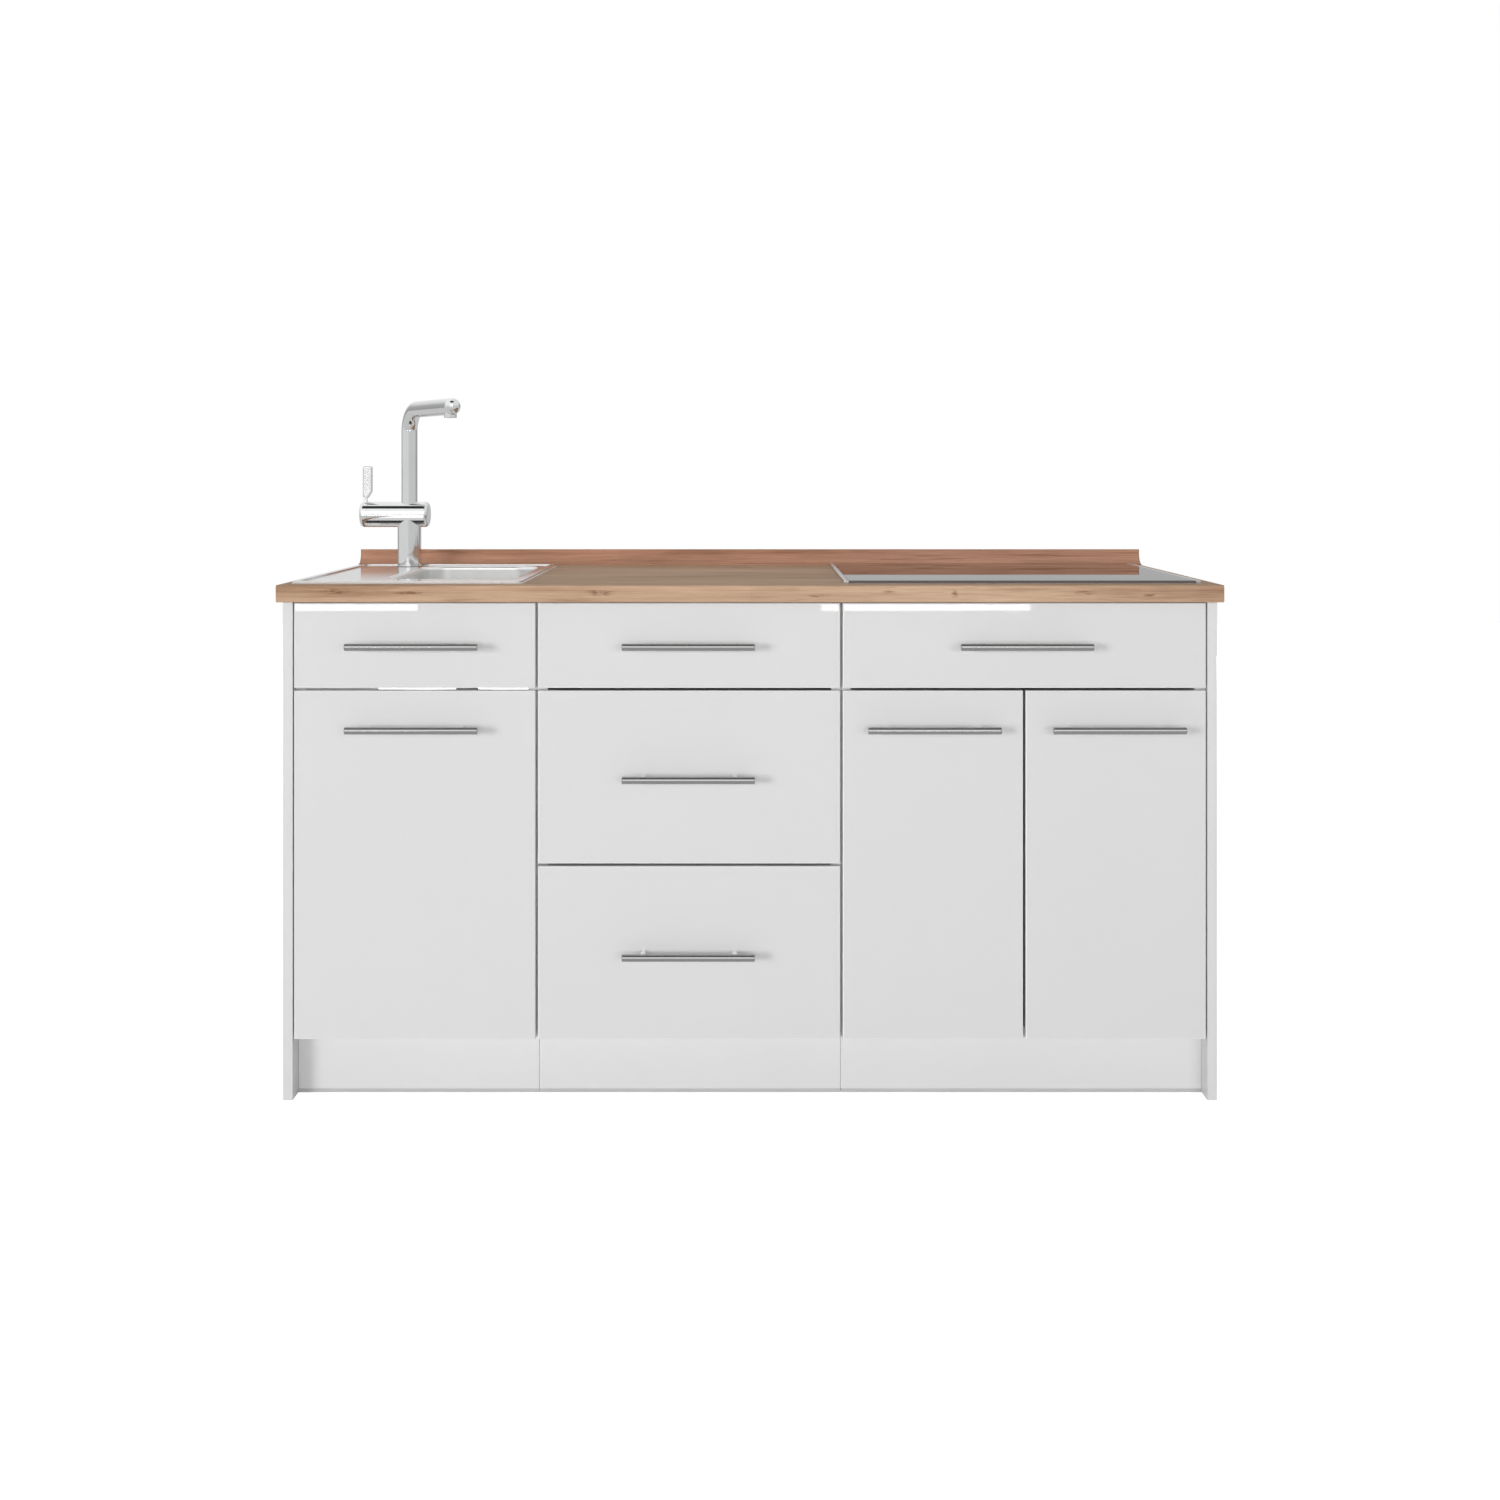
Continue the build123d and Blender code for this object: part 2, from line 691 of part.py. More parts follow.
# End cap that turns about the cross piece, slotted for the lever and carrying its pin
def tap_mixer_cap():
    cap = rod_x(cap_left, cap_right, tap_y, z_tap, tap_cross_radius)
    cap = fillet(cap.edges().sort_by(Axis.X)[0], cap_rounding)
    cap += rod_x(cap_right, cross_left + cap_axle_length, tap_y, z_tap, cap_axle_radius)
    half_depth = lever_neck_depth / 2 + turn_play
    slot_right = lever_x + lever_neck_width / 2 + turn_play
    slot_low = z_lever_pin - lever_neck_width / 2 - turn_play
    cap -= slab(cap_left, slot_right, tap_y - half_depth, tap_y + half_depth, slot_low, z_tap + tap_cross_radius)
    return cap + rod_y(lever_x, tap_y - half_depth, tap_y + half_depth, z_lever_pin, lever_pin_radius)


def tap_lever():
    half_width = lever_neck_width / 2
    half_depth = lever_neck_depth / 2
    z_foot = z_tap + lever_foot_height
    z_head = z_tap + lever_top_height
    x0 = lever_x + lever_offset - lever_width / 2
    x1 = lever_x + lever_offset + lever_width / 2
    outline = [
        (x0, z_foot), (x1 - lever_cut_width, z_foot), (x1, z_foot + lever_cut_height), (x1, z_head), (x0, z_head),
    ]
    blade = prism_y(outline, tap_y - lever_depth / 2, tap_y + lever_depth / 2)
    blade = fillet(blade.edges(), lever_rounding)
    neck = slab(
        lever_x - half_width, lever_x + half_width, tap_y - half_depth, tap_y + half_depth, z_lever_pin,
        z_foot + lever_rounding,
    )
    eye = rod_y(lever_x, tap_y - half_depth, tap_y + half_depth, z_lever_pin, half_width)
    bore = rod_y(lever_x, tap_y - half_depth, tap_y + half_depth, z_lever_pin, lever_pin_radius + turn_play)
    return blade + neck + eye - bore


def hob_tray():
    tray = grow(hob, -hob_flange)
    inside = grow(tray, -hob_sheet)
    z_seat = z_top + hob_sheet
    body = plate(tray, z_tray, z_seat, hob_corner_radius - hob_sheet)
    body += plate(grow(hob, -hob_frame_skirt), z_top, z_seat, hob_corner_radius - hob_frame_skirt)
    body -= plate(inside, z_tray + hob_sheet, z_seat, hob_corner_radius - 2 * hob_sheet)
    gland_x = tray[1] - gland_inset
    gland_y = tray[3] - gland_inset
    body += drum(gland_x, gland_y, z_tray - gland_length, z_tray, gland_radius)
    return body - drum(gland_x, gland_y, z_tray - gland_length, z_tray + hob_sheet, gland_bore_radius)


# Steel trims along the left and right edges of the glass
def hob_frame():
    flange = plate(grow(hob, -hob_frame_skirt), z_top, z_top + hob_sheet, hob_corner_radius - hob_frame_skirt)
    trims = []
    for x0, x1 in ((hob[0], hob[0] + hob_frame_band), (hob[1] - hob_frame_band, hob[1])):
        trim = slab(x0, x1, hob[2], hob[3], z_top, z_frame)
        trim = fillet(trim.faces().sort_by(Axis.Z)[-1].edges(), hob_frame_rounding)
        trims.append(trim - flange)
    return trims


# Glass plate between the trims, with a bevel along its front edge
def hob_glass():
    inset = hob_frame_band + glass_play
    glass = slab(hob[0] + inset, hob[1] - inset, hob[2], hob[3], z_top + hob_sheet, z_glass)
    front_edge = glass.faces().sort_by(Axis.Z)[-1].edges().sort_by(Axis.Y)[0]
    return chamfer(front_edge, glass_bevel)


# Radiant heaters under the glass, each on a post from the tray's floor
def hob_heaters():
    z_under_glass = z_top + hob_sheet - glass_play
    z_dish = z_under_glass - heater_height
    middle_y = (hob[2] + hob[3]) / 2
    heaters = []
    for side_x in (-1, 1):
        for side_y in (-1, 1):
            radius = large_heater_radius if side_x == side_y else small_heater_radius
            x = hob_middle + side_x * heater_spread_x
            y = middle_y + side_y * heater_spread_y
            dish = drum(x, y, z_dish, z_under_glass, radius)
            heaters.append(dish + drum(x, y, z_tray + hob_sheet, z_dish, heater_post_radius))
    return heaters


def hob_unit_shelf():
    x0 = inner_left["hob"] + shelf_play
    x1 = inner_right["hob"] - shelf_play
    z0 = z_floor_board + shelf_height
    return slab(x0, x1, y_carcass + shelf_setback, y_carcass_back - shelf_rear_gap, z0, z0 + board)


def shelf_pins():
    z = z_floor_board + shelf_height - pin_radius
    rows = (y_carcass + shelf_setback + pin_end_inset, y_carcass_back - shelf_rear_gap - pin_end_inset)
    pins = []
    for y in rows:
        pins.append(rod_x(inner_left["hob"], inner_left["hob"] + pin_reach, y, z, pin_radius))
        pins.append(rod_x(inner_right["hob"] - pin_reach, inner_right["hob"], y, z, pin_radius))
    return pins


# Bumpers on the front edges of the carcass boards, just behind the fronts
def front_bumpers():
    places = []
    drawers = [("drawer", row) for row in (bottom_row, middle_row, top_row)] + [("hob", top_row)]
    for unit, row in drawers:
        for x in (unit_left[unit] + board / 2, unit_right[unit] - board / 2):
            places.append((x, row[1] - bumper_end_inset))
    for z in (door_row[0] + bumper_end_inset, door_row[1] - bumper_end_inset):
        places.append((unit_right["sink"] - board / 2, z))
    for x in (hob_middle - bumper_end_inset, hob_middle + bumper_end_inset):
        places.append((x, z_carcass + board / 2))
    return [rod_y(x, y_front_back + bumper_play, y_carcass, z, bumper_radius) for x, z in places]


# Left and right edges of a front that fills a unit
def front_span(unit):
    return unit_left[unit] + front_gap / 2, unit_right[unit] - front_gap / 2


os.makedirs("parts", exist_ok=True)

save("left_cover_panel", cover_panel(row_left - cover_thickness, row_left))
save("right_cover_panel", cover_panel(row_right, row_right + cover_thickness))
for unit in unit_widths:
    save(f"{unit}_unit_sides", *unit_sides(unit))
bottoms = [between_sides(unit, y_carcass, y_carcass_back, z_carcass, z_floor_board) for unit in unit_widths]
save("unit_bottoms", *bottoms)
save("unit_rails", *unit_rails())
save("unit_backs", unit_back("drawer"), unit_back("hob"))
save("hob_unit_shelf", hob_unit_shelf())
save("shelf_pins", *shelf_pins())
save("feet", *[foot(x, y) for x in foot_columns for y in (y_front_foot, y_rear_foot)])
save("plinth_boards", *[plinth_board(unit) for unit in unit_widths])
save("plinth_clips", *[plinth_clip(x) for x in foot_columns])
save("worktop", worktop())
save("wall_upstand", upstand(worktop_left + end_cap_thickness, worktop_right - end_cap_thickness))
left_cap = upstand(worktop_left, worktop_left + end_cap_thickness)
right_cap = upstand(worktop_right - end_cap_thickness, worktop_right)
save("upstand_end_caps", left_cap, right_cap)
save("front_bumpers", *front_bumpers())

save("sink_basin", sink_basin())
save("sink_waste", sink_waste())
save("sink_strainer", sink_strainer())
spout, aerator = tap_spout()
save("tap_body", tap_body())
save("tap_fixing_nut", tap_fixing_nut())
save("tap_spout", spout)
save("tap_aerator", aerator)
save("tap_mixer_cap", tap_mixer_cap())
save("tap_lever", tap_lever())
save("hob_tray", hob_tray())
save("hob_frame", *hob_frame())
save("hob_glass", hob_glass())
save("hob_heaters", *hob_heaters())

# Fixed front of the sink unit
left, right = front_span("sink")
save("false_front", front(left, right, top_row))
save("false_front_handle", bar_handle((left + right) / 2, (top_row[0] + top_row[1]) / 2))
save("false_front_brackets", false_front_bracket(1), false_front_bracket(-1))

# Doors, each with its hinge edge on the left (+1) or on the right (-1)
hob_span = front_span("hob")
doors = {
    "sink_door": (*front_span("sink"), 1, inner_left["sink"]),
    "hob_left_door": (hob_span[0], hob_middle - front_gap / 2, 1, inner_left["hob"]),
    "hob_right_door": (hob_middle + front_gap / 2, hob_span[1], -1, inner_right["hob"]),
}
arms = []
for name, (left, right, side, wall) in doors.items():
    panel, cups = door(left, right, side)
    save(name, panel)
    save(f"{name}_handle", bar_handle((left + right) / 2, door_row[1] - door_handle_drop))
    save(f"{name}_hinge_cups", *cups)
    for z in hinge_rows:
        arms.extend(hinge_arm(wall, side, z))
save("hinge_arms", *arms)

# Drawers
drawers = {
    "top_drawer": ("drawer", top_row, shallow_side_height),
    "middle_drawer": ("drawer", middle_row, deep_side_height),
    "bottom_drawer": ("drawer", bottom_row, deep_side_height),
    "hob_drawer": ("hob", top_row, shallow_side_height),
}
rails = []
for name, (unit, row, height) in drawers.items():
    left, right = front_span(unit)
    z_box = row[0] + drawer_rise
    save(f"{name}_front", front(left, right, row))
    save(f"{name}_handle", bar_handle((left + right) / 2, (row[0] + row[1]) / 2))
    walls = ((inner_left[unit], 1), (inner_right[unit], -1))
    save(f"{name}_sides", *[drawer_side(wall, side, z_box, height) for wall, side in walls])
    save(f"{name}_boards", *drawer_boards(unit, z_box, height))
    rails.extend(drawer_rail(wall, side, z_box) for wall, side in walls)
save("drawer_rails", *rails)
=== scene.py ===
import math
import bpy
import bmesh
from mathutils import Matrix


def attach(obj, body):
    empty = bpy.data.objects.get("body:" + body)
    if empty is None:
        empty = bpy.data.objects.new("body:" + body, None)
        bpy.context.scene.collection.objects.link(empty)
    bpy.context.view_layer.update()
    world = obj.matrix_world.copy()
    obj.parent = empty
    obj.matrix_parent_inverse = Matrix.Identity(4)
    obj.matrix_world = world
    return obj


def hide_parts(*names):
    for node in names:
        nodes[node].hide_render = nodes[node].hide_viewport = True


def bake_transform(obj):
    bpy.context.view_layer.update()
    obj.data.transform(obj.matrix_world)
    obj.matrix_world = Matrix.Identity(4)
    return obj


# kitchen block with sink, drawers and hob; metres, the CAD frame is kept as it comes
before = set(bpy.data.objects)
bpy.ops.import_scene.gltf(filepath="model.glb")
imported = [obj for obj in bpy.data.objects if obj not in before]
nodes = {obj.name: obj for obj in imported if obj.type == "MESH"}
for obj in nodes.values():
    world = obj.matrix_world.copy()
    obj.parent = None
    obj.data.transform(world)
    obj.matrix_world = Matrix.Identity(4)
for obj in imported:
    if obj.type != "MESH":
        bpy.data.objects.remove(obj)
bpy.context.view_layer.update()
print("frame loaded:", len(nodes), "nodes")


# a material with one principled shader
def startFinish(name):
    finish = bpy.data.materials.new(name)
    finish.use_nodes = True
    tree = finish.node_tree
    tree.nodes.clear()
    shader = tree.nodes.new("ShaderNodeBsdfPrincipled")
    output = tree.nodes.new("ShaderNodeOutputMaterial")
    tree.links.new(shader.outputs[0], output.inputs["Surface"])
    return finish, tree, shader


# a node with its settings; an input given as a socket is linked, anything else is its value
def put(tree, kind, inputs, **settings):
    item = tree.nodes.new("ShaderNode" + kind)
    for key, value in settings.items():
        setattr(item, key, value)
    for key, value in inputs.items():
        setInput(tree, item, key, value)
    return item


def setInput(tree, item, key, value):
    if isinstance(value, bpy.types.NodeSocket):
        tree.links.new(value, item.inputs[key])
    else:
        item.inputs[key].default_value = value


def feed(tree, shader, **inputs):
    for key, value in inputs.items():
        setInput(tree, shader, key.replace("_", " "), value)


# object coordinates, stretched and turned
def place(tree, scale=(1, 1, 1), shift=(0, 0, 0), turned=(0, 0, 0)):
    coords = put(tree, "TexCoord", {})
    return put(tree, "Mapping", {"Vector": coords.outputs["Object"], "Location": shift,
                                 "Rotation": turned, "Scale": scale}).outputs[0]


def axisOf(tree, axis):
    return put(tree, "SeparateXYZ", {0: place(tree)}).outputs["XYZ".index(axis)]


def noise(tree, at, scale, detail=3, rough=0.5, twist=0):
    return put(tree, "TexNoise", {"Vector": at, "Scale": scale, "Detail": detail, "Roughness": rough,
                                  "Distortion": twist}).outputs[0]


def calc(tree, operation, a, b=0.0):
    return put(tree, "Math", {0: a, 1: b}, operation=operation).outputs[0]


def plus(tree, a, b):
    return calc(tree, "ADD", a, b)


def times(tree, product, *others):
    for other in others:
        product = calc(tree, "MULTIPLY", product, other)
    return product


def larger(tree, a, b):
    return calc(tree, "MAXIMUM", a, b)


def above(tree, value, limit):
    return calc(tree, "GREATER_THAN", value, limit)


def below(tree, value, limit):
    return calc(tree, "LESS_THAN", value, limit)


def distance(tree, a, b):
    return put(tree, "VectorMath", {0: a, 1: b}, operation="DISTANCE").outputs["Value"]


def remap(tree, value, low, high, lowTo=0.0, highTo=1.0):
    return put(tree, "MapRange", {0: value, 1: low, 2: high, 3: lowTo, 4: highTo}).outputs[0]


noiseSpan = (0.3, 0.7)  # most values of a noise lie in here


def stretch(tree, grain, lowTo=0.0, highTo=1.0):
    return remap(tree, grain, *noiseSpan, lowTo, highTo)


def mixTones(tree, factor, a, b, mode="MIX"):
    return put(tree, "Mix", {0: factor, 6: a, 7: b}, data_type="RGBA", blend_type=mode).outputs[2]


def ramp(tree, value, stops):
    item = put(tree, "ValToRGB", {0: value})
    line = item.color_ramp
    while len(line.elements) < len(stops):
        line.elements.new(0.5)
    for element, (spot, colour) in zip(line.elements, stops):
        element.position = spot
        element.color = tone(colour)
    return item.outputs[0]


def bump(tree, height, strength, depth, under=None):
    inputs = {"Height": height, "Strength": strength, "Distance": depth}
    if under is not None:
        inputs["Normal"] = under
    return put(tree, "Bump", inputs).outputs[0]


# a colour, or a share of it, with its alpha
def tone(colour, share=1.0):
    return (*[value * share for value in colour], 1)


def dress(finish, *names):
    for name in names:
        for spot in nodes[name].material_slots:
            spot.material = finish


# high-gloss foil on the faces, a whiter edge band round them, melamine inside; the band's lighter tone is
# partly its own white and partly a painted highlight
glossFoil = {"tone": (0.66, 0.66, 0.663), "cloud": 1.7, "cloudDip": 0.010, "edge": (0.80, 0.80, 0.80),
             "facePlane": -0.2724, "backPlane": -0.2569,
             "wave": 5.0, "waveStrength": 0.25, "waveDepth": 0.00006,
             "peel": 420, "peelStrength": 0.04, "peelDepth": 0.0002,
             "rough": 0.3, "insideRough": 0.48, "coatRough": 0.015, "specular": 0.3}


def frontFinish(look):
    finish, tree, shader = startFinish("whiteGlossFoil")
    cloud = noise(tree, place(tree), look["cloud"], detail=2)
    paint = mixTones(tree, stretch(tree, cloud), tone(look["tone"]),
                     tone([value - look["cloudDip"] for value in look["tone"]]))
    inside = above(tree, axisOf(tree, "Y"), look["backPlane"])
    band = above(tree, axisOf(tree, "Y"), look["facePlane"])
    # edge band: its own whiter tone, raised further as a painted highlight along the rounded edges
    paint = mixTones(tree, calc(tree, "SUBTRACT", band, inside), paint, tone(look["edge"]))
    wave = noise(tree, place(tree), look["wave"], detail=1)
    wave = bump(tree, wave, look["waveStrength"], look["waveDepth"])
    peel = noise(tree, place(tree), look["peel"], detail=2)
    peel = bump(tree, peel, look["peelStrength"], look["peelDepth"], wave)
    feed(tree, shader, Base_Color=paint, Normal=peel, Coat_Normal=wave, Coat_Roughness=look["coatRough"],
         Roughness=remap(tree, inside, 0, 1, look["rough"], look["insideRough"]),
         Coat_Weight=remap(tree, inside, 0, 1, 1, 0), Specular_IOR_Level=look["specular"])
    return finish


chipboard = {"scale": 260, "detail": 4, "rough": 0.65,
             "stops": [(0.3, (0.30, 0.20, 0.12)), (0.5, (0.50, 0.37, 0.24)), (0.7, (0.66, 0.53, 0.37))]}


# grain and colour of a sawn chipboard face
def chipFace(tree, look):
    chip = noise(tree, place(tree), look["scale"], look["detail"], look["rough"])
    return chip, ramp(tree, chip, look["stops"])


# rows of drilled holes for pins and plates, painted as dark discs on the flat board: real holes, their
# darkness is painted shade for the depth of each bore
shelfHoles = {"step": 0.032, "columns": (-0.2175, 0.2485), "radius": 0.0025, "tone": (0.10, 0.08, 0.06)}


def drillMask(tree, look):
    rise = calc(tree, "MODULO", axisOf(tree, "Z"), look["step"])
    rise = calc(tree, "SUBTRACT", rise, look["step"] / 2)
    drilled = 0.0
    for column in look["columns"]:
        off = calc(tree, "SUBTRACT", axisOf(tree, "Y"), column)
        away = calc(tree, "SQRT", plus(tree, times(tree, off, off), times(tree, rise, rise)))
        drilled = larger(tree, drilled, below(tree, away, look["radius"]))
    return drilled


boardLooks = {
    "carcassMelamine": {"tone": (0.74, 0.74, 0.73), "rough": 0.46, "grain": 700, "rawFrom": 0.2852},
    "drilledMelamine": {"tone": (0.74, 0.74, 0.73), "rough": 0.46, "grain": 700, "rawFrom": 0.2852,
                        "holes": shelfHoles},
    "plinthMelamine": {"tone": (0.685, 0.685, 0.685), "rough": 0.36, "grain": 900},
    "coverSatin": {"tone": (0.66, 0.66, 0.66), "rough": 0.34, "grain": 800, "rawFrom": 0.3052},
    "drawerBoard": {"tone": (0.72, 0.72, 0.71), "rough": 0.5, "grain": 650},
}
boardGrain = {"cloud": 3.1, "shade": 0.975, "swing": 0.04, "rawRough": 0.85, "dent": 0.12,
              "dentDepth": 0.0004, "never": 9}  # a depth that no face reaches


# white boards, with raw chipboard where a face lies behind rawFrom
def boardFinish(name, look, grain):
    finish, tree, shader = startFinish(name)
    fine = noise(tree, place(tree), look["grain"], detail=2)
    cloud = noise(tree, place(tree), grain["cloud"])
    white = mixTones(tree, stretch(tree, cloud), tone(look["tone"]), tone(look["tone"], grain["shade"]))
    chip, raw = chipFace(tree, chipboard)
    behind = above(tree, axisOf(tree, "Y"), look.get("rawFrom", grain["never"]))
    if "holes" in look:
        # painted shade: a dark disc where each real hole is, standing in for the shade inside the bore
        white = mixTones(tree, drillMask(tree, look["holes"]), white, tone(look["holes"]["tone"]))
    dent = bump(tree, mixTones(tree, behind, fine, chip), grain["dent"], grain["dentDepth"])
    rough = remap(tree, fine, 0, 1, look["rough"] - grain["swing"], look["rough"] + grain["swing"])
    feed(tree, shader, Base_Color=mixTones(tree, behind, white, raw), Normal=dent,
         Roughness=larger(tree, rough, times(tree, behind, grain["rawRough"])))
    return finish


hardboard = {"white": (0.74, 0.74, 0.73), "brown": (0.36, 0.235, 0.14), "dark": (0.29, 0.185, 0.105),
             "bareFrom": 0.2882, "fibre": (60, 60, 240), "screen": 2700, "screenShare": 0.3,
             "rough": 0.42, "bareRough": 0.72, "dent": 0.15, "dentDepth": 0.0003}


# thin back panels, lacquered white inside and bare with a fine screen mark behind
def hardboardFinish(look):
    finish, tree, shader = startFinish("backHardboard")
    fibre = noise(tree, place(tree, look["fibre"]), 1.0, detail=4, rough=0.6)
    behind = above(tree, axisOf(tree, "Y"), look["bareFrom"])
    bare = mixTones(tree, stretch(tree, fibre), tone(look["dark"]), tone(look["brown"]))
    across, upward = [calc(tree, "SINE", times(tree, axisOf(tree, axis), look["screen"])) for axis in "XZ"]
    mark = plus(tree, times(tree, across, upward, look["screenShare"]), fibre)
    feed(tree, shader, Base_Color=mixTones(tree, behind, tone(look["white"]), bare),
         Roughness=remap(tree, behind, 0, 1, look["rough"], look["bareRough"]),
         Normal=bump(tree, mark, look["dent"], look["dentDepth"]))
    return finish


oakLooks = {
    "oakWorktop": {"pale": (0.59, 0.408, 0.282), "mid": (0.50, 0.334, 0.224), "dark": (0.30, 0.175, 0.105),
                   "vein": 0.45, "knotTone": (0.20, 0.10, 0.055), "shift": 0.0, "paperBelow": 0.8183},
    "oakUpstand": {"pale": (0.575, 0.322, 0.222), "mid": (0.493, 0.267, 0.178), "dark": (0.27, 0.14, 0.082),
                   "vein": 0.55, "knotTone": (0.18, 0.085, 0.045), "shift": 3.7, "paperBelow": 0.0},
}
# layers of the grain along x: (stretch, detail, roughness, twist, turn)
oakLayers = {
    "drift": ((1.6, 9, 9), 4, 0.55, 0.4, (0, 0, 0)),
    "bands": ((2.6, 46, 46), 6, 0.6, 0.5, (0, 0, 0)),
    "fibre": ((16, 620, 620), 3, 0.6, 0, (0, 0, 0)),
    "pores": ((24, 900, 900), 1, 0.5, 0, (0, 0, 0)),
    "vein": ((3.2, 150, 150), 3, 0.6, 0.8, (0, 0, 0)),
    "streak": ((70, 480, 480), 2, 0.6, 0, (0, 0.5, 0)),
}
# how the layers are mixed; a span of four is (from low, from high, to low, to high)
oakDecor = {"driftShare": 0.55, "bandShare": 0.45, "stops": (0.34, 0.46, 0.6), "veinSpan": (0.42, 0.34),
            "fibreTone": (0.84, 1.06), "staveSize": (2.7, 18, 0), "staveTone": (0, 1, -0.05, 0.05),
            "poreSpan": (0.36, 0.30), "poreShare": 0.35, "streakSpan": (0.46, 0.56, 0.12, 1),
            "rawFrom": 0.3071, "paper": ((0.20, 0.13, 0.08), (0.26, 0.175, 0.11)),
            "rough": (0.44, 0.56), "specular": 0.02, "dent": 0.10, "dentDepth": 0.0004}
# scattered knots, and on the front edge placed ones as (x, z, length, height)
oakKnots = {"cells": (2.3, 7.5, 7.5), "core": (0.10, 0.03), "kept": 0.55, "bands": (0.3, 0.6, 0.4, 1),
            "plane": -0.2925, "depthScale": 1.6, "ragged": 0.5, "edge": (1.0, 0.2, 0, 0.9)}
frontKnots = [(-0.676, 0.836, 0.020, 0.004), (-0.554, 0.834, 0.026, 0.003), (-0.245, 0.833, 0.024, 0.006),
              (0.113, 0.829, 0.018, 0.003), (0.227, 0.836, 0.022, 0.005), (0.333, 0.832, 0.008, 0.011),
              (0.544, 0.834, 0.020, 0.004), (0.650, 0.830, 0.014, 0.003)]


def knotMask(tree, look, shift, bands, knots):
    spots = put(tree, "TexVoronoi", {"Vector": place(tree, look["cells"], shift), "Scale": 1.0,
                                     "Randomness": 1.0}, feature="F1")
    lot = put(tree, "SeparateColor", {0: spots.outputs["Color"]}).outputs[0]
    core = remap(tree, spots.outputs["Distance"], *look["core"])
    speck = times(tree, core, above(tree, lot, look["kept"]), remap(tree, bands, *look["bands"]))
    for x, z, length, height in knots:
        size = (1 / length, look["depthScale"], 1 / height)
        middle = (x / length, look["plane"] * look["depthScale"], z / height)
        ragged = plus(tree, distance(tree, place(tree, size), middle),
                      stretch(tree, bands, -look["ragged"], look["ragged"]))
        speck = larger(tree, speck, remap(tree, ragged, *look["edge"]))
    return speck


# printed oak, with chipboard on the sawn rear edge and paper on the underside
def oakFinish(name, look, decor, knots):
    finish, tree, shader = startFinish(name)
    shift = (look["shift"],) * 3
    dark = tone(look["dark"])
    layer = {}
    for part, (size, detail, rough, twist, turned) in oakLayers.items():
        layer[part] = noise(tree, place(tree, size, shift, turned), 1.0, detail, rough, twist)
    figure = plus(tree, times(tree, layer["drift"], decor["driftShare"]),
                  times(tree, layer["bands"], decor["bandShare"]))
    wood = ramp(tree, figure, list(zip(decor["stops"], (look["dark"], look["mid"], look["pale"]))))
    wood = mixTones(tree, remap(tree, layer["vein"], *decor["veinSpan"], 0, look["vein"]), wood, dark)
    cell = put(tree, "VectorMath", {0: place(tree, decor["staveSize"], shift)}, operation="FLOOR")
    stave = put(tree, "TexWhiteNoise", {"Vector": cell.outputs[0]}).outputs[0]
    level = plus(tree, stretch(tree, layer["fibre"], *decor["fibreTone"]),
                 remap(tree, stave, *decor["staveTone"]))
    level = put(tree, "CombineColor", {0: level, 1: level, 2: level}).outputs[0]
    wood = mixTones(tree, 1.0, wood, level, "MULTIPLY")
    pores = remap(tree, layer["pores"], *decor["poreSpan"])
    wood = mixTones(tree, times(tree, pores, decor["poreShare"]), wood, dark)
    speck = times(tree, knotMask(tree, oakKnots, shift, layer["bands"], knots),
                  remap(tree, layer["streak"], *decor["streakSpan"]))
    wood = mixTones(tree, speck, wood, tone(look["knotTone"]))
    chip, raw = chipFace(tree, chipboard)
    wood = mixTones(tree, above(tree, axisOf(tree, "Y"), decor["rawFrom"]), wood, raw)
    paper = mixTones(tree, stretch(tree, chip), *[tone(colour) for colour in decor["paper"]])
    wood = mixTones(tree, below(tree, axisOf(tree, "Z"), look["paperBelow"]), wood, paper)
    relief = calc(tree, "SUBTRACT", layer["fibre"], pores)
    feed(tree, shader, Base_Color=wood, Roughness=stretch(tree, layer["bands"], *decor["rough"]),
         Normal=bump(tree, relief, decor["dent"], decor["dentDepth"]), Specular_IOR_Level=decor["specular"])
    return finish


metalLooks = {
    "sinkSteel": {"tone": (0.77, 0.77, 0.765), "rough": 0.10, "spread": 0.06, "lines": (4, 700, 700)},
    "handleSteel": {"tone": (0.43, 0.43, 0.427), "rough": 0.10, "spread": 0.07, "lines": (5, 1500, 1500),
                    "dent": 0.03},
    "hobFrameSteel": {"tone": (0.64, 0.64, 0.64), "rough": 0.20, "spread": 0.12, "lines": (900, 6, 900),
                      "dent": 0.04},
    "zincPlate": {"tone": (0.60, 0.615, 0.63), "rough": 0.30, "spread": 0.16, "lines": (90, 90, 90),
                  "dent": 0.02},
    "tapChrome": {"tone": (0.885, 0.89, 0.895), "rough": 0.03, "spread": 0.05, "lines": (16, 16, 16)},
    "leverChrome": {"tone": (0.92, 0.92, 0.92), "rough": 0.24, "spread": 0.06, "lines": (16, 16, 16)},
}
# more satin zones between two heights or depths, with a brighter tone that is painted light: painted light
# in the drawn bowl, and painted highlights on the front roll of the sink's rim and on the handle posts
metalSatinAndPaintedLightZones = {
    "sinkSteel": [{"axis": "Z", "span": (0.0, 0.8462), "rough": 0.20, "tone": (0.96, 0.96, 0.955)},
                  {"axis": "Y", "span": (-0.2515, -0.2462), "rough": 0.24, "tone": (0.98, 0.98, 0.97)}],
    "handleSteel": [{"axis": "Y", "span": (-0.2953, 0.0), "rough": 0.12, "tone": (0.93, 0.93, 0.925)}],
}
metalGrain = {"shade": 0.94, "lineShare": 0.6, "smear": 11, "smearSpan": (0.35, 0.7), "smearShare": 0.4,
              "dentDepth": 0.0003}


